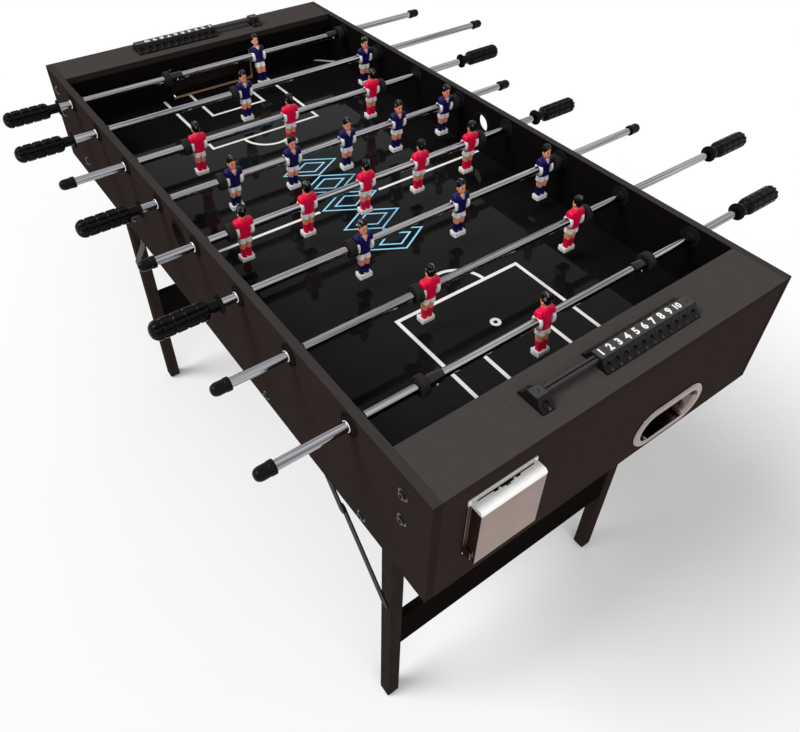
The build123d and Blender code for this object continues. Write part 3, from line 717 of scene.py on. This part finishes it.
def hair():
    """A combed cap that follows the head from its hairline to the crown."""
    sides, rows = 72, 15
    rings = []
    for i in range(rows):
        share = i / (rows - 1)
        ring = []
        for j in range(sides):
            angle = 2 * pi * j / sides
            front, back = max(0.0, sin(angle)), max(0.0, -sin(angle))
            # The hairline rises to the brow and drops to the nape, and locks swell along the combing
            line = 27.6 + 7.4 * front**1.1 - 5.2 * back**1.2
            z = line + (40.6 - line) * sin(share * pi / 2)
            middle, wide, deep = (np.interp(z, HEAD[:, 0], HEAD[:, k]) for k in (2, 3, 4))
            out = 0.7 * min(1.0, share / 0.12) ** 0.5
            lock = wide * cos(angle) + 1.1 * sin(0.9 * deep * sin(angle))
            out += 0.3 * min(1.0, share / 0.2) * cos(2 * pi * lock / 2.4)
            ring.append(((wide + out) * cos(angle), middle + (deep + out) * sin(angle), z + 0.7 * share))
        rings.append(ring)
    return loft(rings)


def collar(reach, thickness):
    """A white edging that runs from both sides of the neck to a V on the chest."""
    half = [(6.2, 0.4, 17.6), (5.2, 3.6, 17.4), (3.6, 6.0, 15.6)]
    half += [(1.8, 7.5, 17.8 - 0.72 * reach), (0, 8.2, 17.4 - reach)]
    swing = full_turn(8)
    path = eased(half + [(-x, y, z) for x, y, z in reversed(half[:-1])], 3)
    rings = []
    for i, middle in enumerate(path):
        run = path[min(i + 1, len(path) - 1)] - path[max(i - 1, 0)]
        out = np.cross(run, (0, -0.6, 0.8)) / np.linalg.norm(run)
        up = np.cross(run, out) / np.linalg.norm(run)
        rings.append(middle + thickness * (np.outer(np.cos(swing), out) + 0.6 * np.outer(np.sin(swing), up)))
    return loft(rings)


def foot_block():
    """The kicking block: a box with low raised ends and a groove along its face."""
    sections = [(-10.5, 0.9), (-10.2, 0.97), (-9.6, 1), (-8.6, 1), (-7.4, 1), (-4, 1), (0, 1)]
    sections += [(-x, size) for x, size in reversed(sections[:-1])]
    rings = []
    for x, size in sections:
        rise = min(1.0, max(0.0, (abs(x) - 7.2) / 1.6))
        top = -52.2 + 1.5 * rise
        outline = [(-7, -58.6), (-5.4, -60.5), (6.6, -60.5), (8.4, -58.6), (8.4, -57.2), (7.5, -56.9)]
        outline += [(7.5, -56.2), (8.4, -55.9), (8.2, top), (-6.6, top), (-7, -53.4)]
        ring = round_corners(outline, 0.8, closed=True, steps=2)
        middle = np.array((0.8, -56.0))
        rings.append([(x, *(middle + (point - middle) * size)) for point in ring])
    return loft(rings)


# What a figure has on both sides: finish, squareness, and stations on the side of +X
PAIRED = [
    # Sleeve
    (JERSEY, 2.3, [
        (17.2, 8.8, 0, 1.8, 2.6), (16.2, 10.0, 0, 3.8, 4.8), (13.0, 11.2, 0, 4.1, 6.2),
        (9.4, 11.6, 0.1, 3.7, 6.9), (7.2, 11.5, 0.1, 3.5, 7.2), (6.2, 11.5, 0.1, 3.1, 6.8),
    ]),
    # Cuff and fist, round the rod
    (WHITE, 2.8, [
        (7.6, 12.0, 0.1, 2.2, 5.8), (5.4, 12.1, 0.1, 3.1, 7.5), (1.6, 11.9, 0.2, 3.4, 8.9),
        (-2.8, 11.9, 0.2, 3.4, 9.1), (-7.0, 11.7, 0.2, 3.4, 8.1), (-10.2, 11.0, 0.1, 2.8, 5.8),
        (-11.8, 10.8, 0.1, 1.6, 3.4),
    ]),
    # Leg of the shorts
    (WHITE, 2.4, [
        (-11.0, 4.6, 0, 4.6, 6.8), (-17.0, 4.9, 0, 5.0, 7.2), (-21.6, 5.2, 0.1, 5.3, 7.6),
        (-23.4, 5.3, 0.1, 5.3, 7.7), (-24.0, 5.3, 0.1, 4.9, 7.2),
    ]),
    # Thigh
    (SKIN, 2.2, [
        (-22.0, 4.8, 0.2, 4.6, 6.2), (-27.0, 4.7, 0.3, 4.8, 6.3), (-31.5, 4.6, 0.5, 4.6, 6.0),
        (-37.0, 4.5, 0.2, 4.0, 5.2),
    ]),
    # Sock
    (JERSEY, 2.2, [
        (-34.6, 4.5, 0.2, 3.9, 5.0), (-35.2, 4.5, 0.2, 4.5, 5.6), (-36.4, 4.5, 0.2, 4.6, 5.7),
        (-37.4, 4.4, 0.1, 4.2, 5.3), (-42.0, 4.4, -0.1, 4.3, 5.5), (-47.0, 4.4, 0, 3.9, 4.9),
        (-53.0, 4.4, 0, 4.0, 5.0),
    ]),
    # Ear
    (SKIN, 2.0, [
        (22.8, 5.6, -0.4, 0.5, 0.8), (25, 6.3, -0.4, 0.9, 1.3), (28, 6.5, -0.6, 0.9, 1.4),
        (29.4, 6.2, -0.6, 0.4, 0.7),
    ]),
    # Eye
    (HAIR, 2.0, [
        (26.8, 2.4, 6.9, 0.5, 0.4), (27.6, 2.4, 7.0, 1.0, 0.45), (28.3, 2.4, 6.9, 0.6, 0.4),
    ]),
    # Brow
    (HAIR, 2.0, [
        (29.2, 2.6, 6.7, 0.8, 0.4), (29.8, 2.6, 6.85, 1.5, 0.5), (30.4, 2.6, 6.7, 0.9, 0.4),
    ]),
]


def figure(collar_reach, collar_thickness):
    """A whole figure. Each moulded colour is a closed body of its own."""
    man = Form()
    torso = [
        (-14.2, 0, 0, 10.6, 7.3), (-13.4, 0, 0, 11.3, 7.8), (-9.0, 0, 0, 10.8, 7.6), (-3.0, 0, 0, 10.8, 7.8),
        (4.0, 0, 0.2, 11.4, 8.2), (9.5, 0, 0.3, 12.4, 8.1), (13.5, 0, 0.1, 12.6, 6.9),
        (16.2, 0, 0, 10.4, 5.7), (18.2, 0, 0, 6.2, 4.7), (19.0, 0, 0, 4.6, 4.1),
    ]
    hips = [(-20, 0, 0, 8.2, 6.6), (-15, 0, 0, 8.9, 7.1), (-9, 0, 0, 9.0, 7.0)]
    neck = [(15, 0, 0.4, 4.4, 4.4), (18, 0, 0.6, 4.0, 4.2), (23, 0, 0.9, 4.2, 4.6)]
    bare_chest = [(11.4, 0, 7.7, 0.5, 0.5), (14.4, 0, 6.1, 2.4, 1.6), (18.4, 0, 1.8, 4.6, 3.9)]
    man.add(egg(torso, 32, 2.6), JERSEY)
    man.add(egg(hips, 24, 2.5), WHITE)
    man.add(egg(neck, 20), SKIN)
    man.add(egg(bare_chest, 16), SKIN)
    if collar_reach:
        man.add(collar(collar_reach, collar_thickness), WHITE)
    for side in (-1, 1):
        for slot, square, stations in PAIRED:
            man.add(egg([(z, side * x, y, a, b) for z, x, y, a, b in stations], 22, square, 3), slot)
    skull = [[(x + a * cos(t), y + b * sin(t), z) for t in full_turn(32)] for z, x, y, a, b in HEAD]
    man.add(loft(skull), SKIN)
    nose = [(23.2, 0, 7.0, 0.6, 0.5), (24.4, 0, 7.8, 1.2, 1.1)]
    nose += [(26.6, 0, 7.6, 0.8, 0.9), (29.2, 0, 7.2, 0.5, 0.5)]
    man.add(egg(nose, 12, 2.0, 2), SKIN)
    man.add(hair(), HAIR)
    man.add(foot_block(), WHITE)
    return man


navy_man = figure(8.0, 0.75)
navy_keeper = figure(6.0, 1.3)
red_man = figure(0.0, 0.0)

# Turned pieces of a rod, along +X from the face that meets their neighbour
ROD_RADIUS, BORE = 6.35, 6.43
TIP_ON_ROD, BUMPER_LENGTH, COLLAR_LENGTH = 20.0, 11.0, 25.0
tip = [(0, 0.2), (0, 8.6), (0.6, 9), (6.4, 9), (7, 8.6), (7.6, 8.4)]
tip += [(17, 8.6), (20.5, 7.8), (23.2, 6), (24.7, 3.2), (25, 0.2)]
rod_tip = turned(round_corners(tip, 0.9))
bumper = [(0, BORE), (0, 12.4), (0.9, 14), (10.1, 14), (BUMPER_LENGTH, 13), (BUMPER_LENGTH, 11.6)]
bumper = bored(bumper + [(10.2, 10.6), (10.2, 8.4), (10.8, 7.8), (10.8, BORE)], 0.6, 48)
stop_collar = bored([(0, BORE), (0, 8.5), (COLLAR_LENGTH, 8.5), (COLLAR_LENGTH, BORE)], 0.8)


def socket_screw(radius, height, washer, shank=()):
    """A button-headed screw along +X with a hexagon socket, on a washer where one is given.

    A shank is steps of (x, radius) that lead up to the head.
    """
    steps = [(shank[0][0], 0.2), *shank] if shank else [(-1.0, 0.2)]
    steps.append((-1.0, washer or radius))
    if washer:
        steps += [(0.7, washer), (1.0, washer - 0.4), (1.0, radius)]
        height += 1.0
    steps += [(height - 1.0, radius), (height - 0.4, 0.86 * radius), (height, 0.55 * radius)]
    angles = full_turn(24)
    rings = [[(x, r * cos(a), r * sin(a)) for a in angles] for x, r in steps]
    for x, flat in ((height - 0.1, 0.46), (height - 0.5 * (height - 0.5), 0.44)):
        ring = []
        for a in angles:
            reach = flat * radius / cos((a + pi / 6) % (pi / 3) - pi / 6)
            ring.append((x, reach * cos(a), reach * sin(a)))
        rings.append(ring)
    return loft(rings)


# The grip that every rod has: how much of it covers the rod, and its sizes
GRIP_ON_ROD = 84.0
GRIP = {"Length": 98.0, "Flange Radius": 13.5, "Flange": 2.5, "Neck Radius": 8.5, "Neck": 16.0}
GRIP |= {"Radius": 14.0, "Shoulder": 8.0, "Dome": 12.0}
GRIP |= {"Ribs": 10.0, "Rib Depth": 2.5, "Bands": 5.0, "Band Depth": 1.6}
grip = taken(grown("grip", grip_tree, bpy.data.meshes.new("grip"), {**GRIP, "Finish": grip_plastic}))
ON_GRIP, ON_TIP, ON_FLANGE = range(3)
grip_slots = []
for face in grip[1]:
    on_flange = max(grip[0][i][0] for i in face) < GRIP["Flange"] + 1.0
    grip_slots.append(ON_FLANGE if on_flange else ON_GRIP)
# The set screw of a stop collar, turned this many degrees down from the near side
SET_SCREW_RADIUS, SET_SCREW_TURN = 8.4, 25
set_screw = socket_screw(2.4, 1.2, 0)

rod_places = []
for number, (men, grip_side, face_side, turn) in enumerate(RODS, start=1):
    body = f"rod_{number}"
    low, high = box_corners(f"rod_{number}_bar")
    y, z = (low.y + high.y) / 2, (low.z + high.z) / 2
    rod_places.append((y, z))
    bumper_low, bumper_high = box_corners(f"rod_{number}_bumpers")
    middle = (bumper_low.x + bumper_high.x) / 2
    navy = number in NAVY_RODS

    rod_steps = [(low.x, 0.2), (low.x, ROD_RADIUS), (high.x, ROD_RADIUS), (high.x, 0.2)]
    bar = Form().add(turned(round_corners(rod_steps, 0.8), 56), 0, at(0, y, z))
    carried(bar.piece(f"rod_{number}_chrome_bar", rod_chrome), body, "rod_chrome", f"rod_{number}_bar")

    squad = Form()
    man = navy_keeper if number == 1 else navy_man if navy else red_man
    for i in range(men):
        x = middle + (i - (men - 1) / 2) * MAN_SPACING[men]
        squad.add((man.points, man.faces), man.slots, at(x, y, z, turn, facing(face_side)))
    paints = (skin_paint, hair_paint, navy_paint if navy else red_paint, white_paint)
    slot = "navy_figure" if navy else "red_figure"
    carried(squad.piece(f"rod_{number}_figures", *paints), body, slot, f"rod_{number}_men")

    grip_end, tip_end = (high.x, low.x) if grip_side > 0 else (low.x, high.x)
    ends = Form()
    ends.add(grip, grip_slots, at(grip_end - grip_side * GRIP_ON_ROD, y, z, 0, facing(grip_side)))
    ends.add(rod_tip, ON_TIP, at(tip_end + grip_side * TIP_ON_ROD, y, z, 0, facing(-grip_side)))
    plastics = (grip_plastic, tip_rubber, matte_plastic)
    ends = ends.piece(f"rod_{number}_ribbed_grip_and_cap", *plastics, sharp=50.0)
    carried(ends, body, "grip_plastic", f"rod_{number}_grip_and_tip")

    rubber = Form()
    rubber.add(bumper, 0, at(bumper_high.x - BUMPER_LENGTH, y, z))
    rubber.add(bumper, 0, at(bumper_low.x + BUMPER_LENGTH, y, z, 0, facing(-1)))
    rubber = rubber.piece(f"rod_{number}_rubber_bumpers", bumper_rubber)
    carried(rubber, f"rod_{number}_bumper_pair", "bumper_rubber", f"rod_{number}_bumpers")

    if men == 1:
        collar_low, collar_high = box_corners(f"rod_{number}_stop_collars")
        down = radians(SET_SCREW_TURN)
        screw_y, screw_z = y - SET_SCREW_RADIUS * cos(down), z - SET_SCREW_RADIUS * sin(down)
        rings, screws = Form(), []
        for x in (collar_low.x, collar_high.x - COLLAR_LENGTH):
            rings.add(stop_collar, 0, at(x, y, z))
            screws.append(((x + COLLAR_LENGTH / 2, screw_y, screw_z), (0, SET_SCREW_TURN, -90)))
        rings = rings.piece(f"rod_{number}_plastic_collars", collar_plastic)
        carried(rings, body, "bush_plastic", f"rod_{number}_stop_collars")
        spread(f"rod_{number}_set_screws", set_screw, screws, plate_chrome, body, "bolt_steel")

# Bearings and rings in the side panels
PLATE_THICKNESS = 3.0
inside, outside, washers = [], [], []
for y, z in rod_places:
    for side in (-1, 1):
        inside.append(((side * inner_x, y, z), (0, 0, facing(-side))))
        outside.append(((side * cabinet_x, y, z), (0, 0, facing(side))))
        washers.append(((side * (cabinet_x + PLATE_THICKNESS), y, z), (0, 0, facing(side))))
bush = bored([(0, BORE), (0, 17), (2.5, 16.6), (2.5, 8.5), (7.5, 8.1), (7.5, BORE)], 0.7)
spread("inner_bushes", bush, inside, bush_plastic, "cabinet", "bush_plastic", ["rod_bushes"])
plate = [(0, BORE), (0, 15.5), (2.2, 15.2), (2.2, 13.6), (1.5, 13.2), (1.5, 12.4)]
plate = bored(plate + [(PLATE_THICKNESS, 12.0), (PLATE_THICKNESS, BORE)], 0.4)
spread("outer_plates", plate, outside, matte_plastic, "cabinet", "bush_plastic", ["rod_flange_plates"])
washer = bored([(0, BORE + 0.1), (0, 8.0), (2.0, 7.7), (2.0, BORE + 0.1)], 0.5)
spread("bright_rod_washers", washer, washers, plate_chrome, "cabinet", "return_chrome")
entry_low, entry_high = box_corners("ball_entry_rings")
entry_z = (entry_low.z + entry_high.z) / 2
entry = [(-2, 18), (-2, 22), (0, 23), (0, 20), (12, 20), (12, 23), (14, 22), (14, 18)]
entry_places = [((side * inner_x, 0, entry_z), (0, 0, facing(side))) for side in (1, -1)]
rims = bored(entry, 0.8, 56)
spread("ball_entry_rims", rims, entry_places, matte_plastic, "cabinet", "bush_plastic", ["ball_entry_rings"])

# Bolts through the side panels: two at each corner of the cabinet, and those that the legs and the braces
# turn on, which start inside the table
CORNER_BOLT_Y, CORNER_BOLT_Z = 560.0, (770.0, 723.0)
LEG_PIVOT_Y, BRACE_PIVOT_Y, PIVOT_Z = 480.0, 241.0, {-1: 626.0, 1: 653.0}
leg_shank = [(-63.0, 3.9), (-1.0, 3.9)]
brace_shank = [(-35.5, 2.9), (-32.5, 2.9), (-32.5, 5.9), (-12.0, 5.9), (-12.0, 2.9), (-1.0, 2.9)]
corner_bolts, leg_pivots, brace_pivots = [], [], []
for side, end in ((-1, -1), (-1, 1), (1, -1), (1, 1)):
    x, turn = side * cabinet_x, (0, 0, facing(side))
    corner_bolts += [((x, end * CORNER_BOLT_Y, z), turn) for z in CORNER_BOLT_Z]
    leg_pivots.append(((x, end * LEG_PIVOT_Y, PIVOT_Z[end]), turn))
    brace_pivots.append(((x, end * BRACE_PIVOT_Y, PIVOT_Z[end]), turn))
spread("corner_bolts", socket_screw(5.6, 3.2, 8.5), corner_bolts, bolt_steel, "cabinet", "bolt_steel")
leg_bolt = socket_screw(5.6, 3.2, 8.5, leg_shank)
spread("leg_pivot_bolts", leg_bolt, leg_pivots, bolt_steel, "cabinet", "bolt_steel", ["pivot_bolts"])
brace_bolt = socket_screw(5.0, 3.0, 7.5, brace_shank)
spread("brace_pivot_bolts", brace_bolt, brace_pivots, bolt_steel, "cabinet", "bolt_steel")

# Score counters
BEAD_PITCH, BEAD_LENGTH, BRACKET_LENGTH = 15.2, 15.0, 18.7
COUNTER_TOP = 17.0
COUNTER_EDGE = [(20.5, 0), (20.5, 2.6), (19.0, 4.2), (15.4, 6.4), (12.2, 10.2), (9.0, 16.2)]
COUNTER_EDGE += [(8.3, COUNTER_TOP)]
HOLLOW_RADIUS, HOLLOW_HEIGHT = 4.4, 6.4


def counter_block(length, bore):
    """A bead or a bracket along +X: flared feet, a finger hollow in each side, and a slot for the rail."""
    side = [np.array(COUNTER_EDGE[0], float)]
    for corner in COUNTER_EDGE[1:]:
        side += [side[-1] + (np.array(corner) - side[-1]) * t for t in (0.25, 0.5, 0.75, 1.0)]
    outline = [(y, z) for y, z in side] + [(-y, z) for y, z in reversed(side)]
    if bore:
        outline += [(-5.4, 0), (-5.4, 13.9), (5.4, 13.9), (5.4, 0)]
    rings = []
    steps, edge = 20, 0.4
    for i in range(-1, steps + 2):
        x = min(max(i, 0), steps) * length / steps
        if i in (0, steps):
            x = edge if i == 0 else length - edge
        tuck = edge if i in (-1, steps + 1) else 0.0
        ring = []
        # The flanks are pressed in at the hollow, and the edges of the end faces are tucked in
        for y, z in outline:
            if abs(y) > 8.4 and z > 0.5:
                lie = ((x - length / 2) / HOLLOW_RADIUS) ** 2 + ((z - HOLLOW_HEIGHT) / HOLLOW_RADIUS) ** 2
                depth = HOLLOW_RADIUS * max(0.0, 1 - lie) ** 0.5 + tuck
                y -= np.sign(y) * 0.8 * depth
                z -= 0.45 * depth
            elif z > 16.5:
                z -= tuck
            ring.append((x, y, z))
        rings.append(ring)
    return loft(rings)


def label(half_length):
    """The grey top of a bead or a bracket, from its middle."""
    return tile(half_length, 7.9, 0.7, -0.3, 0.08)


def number_shape(text):
    """A plain number as a flat mesh about its middle, in millimetres."""
    curve = bpy.data.curves.new("number", "FONT")
    curve.body = text
    curve.size = 14.5 if len(text) == 1 else 12.0
    curve.align_x = "CENTER"
    curve.align_y = "CENTER"
    curve.offset = 0.55
    curve.extrude = 0.04
    curve.resolution_u = 5
    holder = bpy.data.objects.new("number", curve)
    mesh = bpy.data.meshes.new_from_object(holder)
    bpy.data.objects.remove(holder)
    return taken(mesh)


def on_ledge(end, x, height=0.0, side=1):
    """A place over the middle of the ledge at one end, turned to point along X to a side."""
    return at(x, end * counter_y, top_z + height, 0, facing(side))


one_bead = counter_block(BEAD_LENGTH, True)
one_bracket = counter_block(BRACKET_LENGTH, False)
rail_low, rail_high = box_corners("counter_rails")
rail_run = (rail_low.x + BRACKET_LENGTH - 0.5, rail_high.x - BRACKET_LENGTH + 0.5)
rail = [(-4.2, 7), (4.2, 7), (4.2, 13.5), (1.3, 13.5), (1.3, 9.5), (-1.3, 9.5), (-1.3, 13.5), (-4.2, 13.5)]
rail = round_corners(rail, 0.5, closed=True)
rail = loft([[(x, y, z) for y, z in rail] for x in rail_run])
brackets, bracket_screws = Form(), []
for name, end in (("near", -1), ("far", 1)):
    body = f"{name}_counter"
    low, high = box_corners(f"{name}_counter_beads")
    start = low.x if end < 0 else high.x
    beads, digits = Form(), Form()
    for i in range(10):
        x = start - end * i * BEAD_PITCH
        middle = x - end * BEAD_LENGTH / 2
        beads.add(one_bead, 0, on_ledge(end, x, 0.0, -end))
        digits.add(label(BEAD_LENGTH / 2 - 0.5), 0, on_ledge(end, middle, COUNTER_TOP, -end))
        digits.add(number_shape(str(i + 1)), 1, on_ledge(end, middle, COUNTER_TOP + 0.13, -end))
    beads = beads.piece(f"{name}_counter_slides", counter_plastic)
    carried(beads, body, "bead_plastic", f"{name}_counter_beads")
    carried(digits.piece(f"{name}_counter_numbers", label_plastic, number_paint), body, "bead_plastic")

    brackets.add(rail, 1, on_ledge(end, 0))
    for side, edge in ((-1, rail_low.x), (1, rail_high.x)):
        middle = edge - side * BRACKET_LENGTH / 2
        brackets.add(one_bracket, 0, on_ledge(end, edge, 0.0, -side))
        brackets.add(label(BRACKET_LENGTH / 2 - 1.0), 1, on_ledge(end, middle, COUNTER_TOP))
        bracket_screws.append(((middle, end * counter_y, top_z + COUNTER_TOP - 0.4), (0, -90, 0)))
brackets = brackets.piece("counter_brackets_and_rails", counter_plastic, label_plastic)
carried(brackets, "cabinet", "counter_plastic", "counter_rails")
spread("counter_screws", socket_screw(2.8, 0.9, 0), bracket_screws, bolt_steel, "cabinet", "bolt_steel")

# Ashtray: flat black tiles on its top, painted shade: a strip along the back at the gap to the plate, and
# smaller ones at the notches of the spring that holds it shut
box_low, box_high = box_corners("ashtray_box")
clip = Form()
box_middle = (box_low.x + box_high.x) / 2
for x, y, half_length, half_width in (
    (0, 2.0, 40.0, 0.7),
    (0, 3.6, 9.0, 1.1),
    (-15.5, 3.2, 3.2, 1.3),
    (15.5, 3.2, 3.2, 1.3),
    (0, 5.6, 3.4, 0.7),
):
    shade_tile = tile(half_length, half_width, 0.5, -0.3, 0.12)
    clip.add(shade_tile, 0, at(box_middle + x, box_high.y - y, box_high.z))
carried(clip.piece("ashtray_spring_tongues", matte_plastic), "ashtray", "ashtray_metal")

# CAD pieces that stay: their finishes, and edges softened as cut boards and sheet are
KEPT = {
    "side_panel_left": (side_laminate, 0.5),
    "side_panel_right": (side_laminate, 0.5),
    "end_panel_near": (cross_laminate, 0.5),
    "end_panel_far": (cross_laminate, 0.5),
    "end_ledges": (ledge_laminate, 0.5),
    "goal_walls": (goal_finish, 0.0),
    "playfield": (field_finish, 0.0),
    "field_battens": (raw_wood, 0.8),
    "wood_blocks": (raw_wood, 0.8),
    "ball_troughs": (dark_board, 0.4),
    "ball_return_cups": (return_chrome, 0.6),
    "ashtray_plate": (ashtray_metal, 0.3),
    "ashtray_box": (ashtray_metal, 0.6),
    "near_leg_frame": (leg_finish, 2.2),
    "far_leg_frame": (leg_finish, 2.2),
    "near_upper_links": (black_steel, 0.3),
    "near_lower_links": (black_steel, 0.3),
    "far_upper_links": (black_steel, 0.3),
    "far_lower_links": (black_steel, 0.3),
}
for name, (material, edge) in KEPT.items():
    kept = nodes[name]
    kept.data.materials.clear()
    kept.data.materials.append(material)
    if edge:
        weld = kept.modifiers.new("weld", "WELD")
        weld.merge_threshold = 0.01 * MM
        flat = kept.modifiers.new("flat_faces", "DECIMATE")
        flat.decimate_type = "DISSOLVE"
        flat.angle_limit = radians(0.5)
        soft = kept.modifiers.new("soft_edges", "BEVEL")
        soft.width = edge * MM
        soft.segments = 2
        soft.limit_method = "ANGLE"
        soft.angle_limit = radians(40)
        soft.harden_normals = True


# Stage: white floor and soft studio light
def seen(tree):
    """One for a ray from the camera, or one that a shiny or clear piece sends on, and zero for the rest."""
    path = node(tree, "ShaderNodeLightPath").outputs
    straight = calc("MAXIMUM", path["Is Camera Ray"], path["Is Glossy Ray"])
    return calc("MAXIMUM", straight, path["Is Transmission Ray"])


WHITE_LIGHT = (1, 1, 1, 1)
floor_mesh = bpy.data.meshes.new("floor")
floor_mesh.from_pydata([(-20, -20, 0), (20, -20, 0), (20, 20, 0), (-20, 20, 0)], [], [(0, 1, 2, 3)])
floor = put("floor", floor_mesh)
floor_finish, tree, surface = shader("floor_white", Roughness=0.9, Specular_IOR_Level=0.0)
floor_white = blend(noise(tree, 3.0), (0.82, 0.82, 0.82, 1), (0.84, 0.84, 0.84, 1))
join(surface, Base_Color=floor_white)
lift = times(seen(tree), 0.06)
glow = node(tree, "ShaderNodeEmission", {"Color": WHITE_LIGHT, "Strength": lift})
both = node(tree, "ShaderNodeAddShader", {0: surface.outputs[0], 1: glow.outputs[0]})
tree.links.new(both.outputs[0], tree.nodes["Material Output"].inputs["Surface"])
floor_mesh.materials.append(floor_finish)

# The world: even soft light, and a white backdrop that shiny pieces mirror too
world = bpy.data.worlds.new("studio")
world.use_nodes = True
scene.world = world
tree = world.node_tree
tree.nodes.clear()
soft_light = node(tree, "ShaderNodeBackground", {"Color": WHITE_LIGHT, "Strength": 0.38})
backdrop = node(tree, "ShaderNodeBackground", {"Color": WHITE_LIGHT, "Strength": 1.0})
shown = node(tree, "ShaderNodeMixShader", {0: seen(tree), 1: soft_light.outputs[0], 2: backdrop.outputs[0]})
node(tree, "ShaderNodeOutputWorld", {0: shown.outputs[0]})


def lamp(name, place, energy, angle):
    """A wide soft sun that shines from a place in metres on the middle of the floor."""
    data = bpy.data.lights.new(name, "SUN")
    data.energy = energy
    data.angle = radians(angle)
    made = put(name, data)
    made.location = place
    made.rotation_euler = (-Vector(place)).to_track_quat("-Z", "Y").to_euler()
    return made


lamp("overhead_softbox", (-1.3, 0.5, 1.65), 2.25, 30)
fill = lamp("front_fill", (-0.6, -1.6, 1.3), 1.15, 60)
fill.visible_glossy = False

# Camera at the photograph's place
lens = bpy.data.cameras.new("camera")
lens.sensor_fit = "HORIZONTAL"
lens.sensor_width = 36.0
lens.lens = 32.887
lens.shift_x = 0.01266
lens.shift_y = -0.0676
lens.clip_start = 0.05
camera = put("camera", lens)
view_turn = Vector((2.225, -0.7161, 0.3301))
camera_turn = Matrix.Rotation(view_turn.length, 3, view_turn).transposed() @ Matrix.Diagonal((1, -1, -1))
camera.matrix_world = Matrix.Translation((-0.57439, -0.89394, 1.42050)) @ camera_turn.to_4x4()
scene.camera = camera
scene.view_settings.view_transform = "Standard"
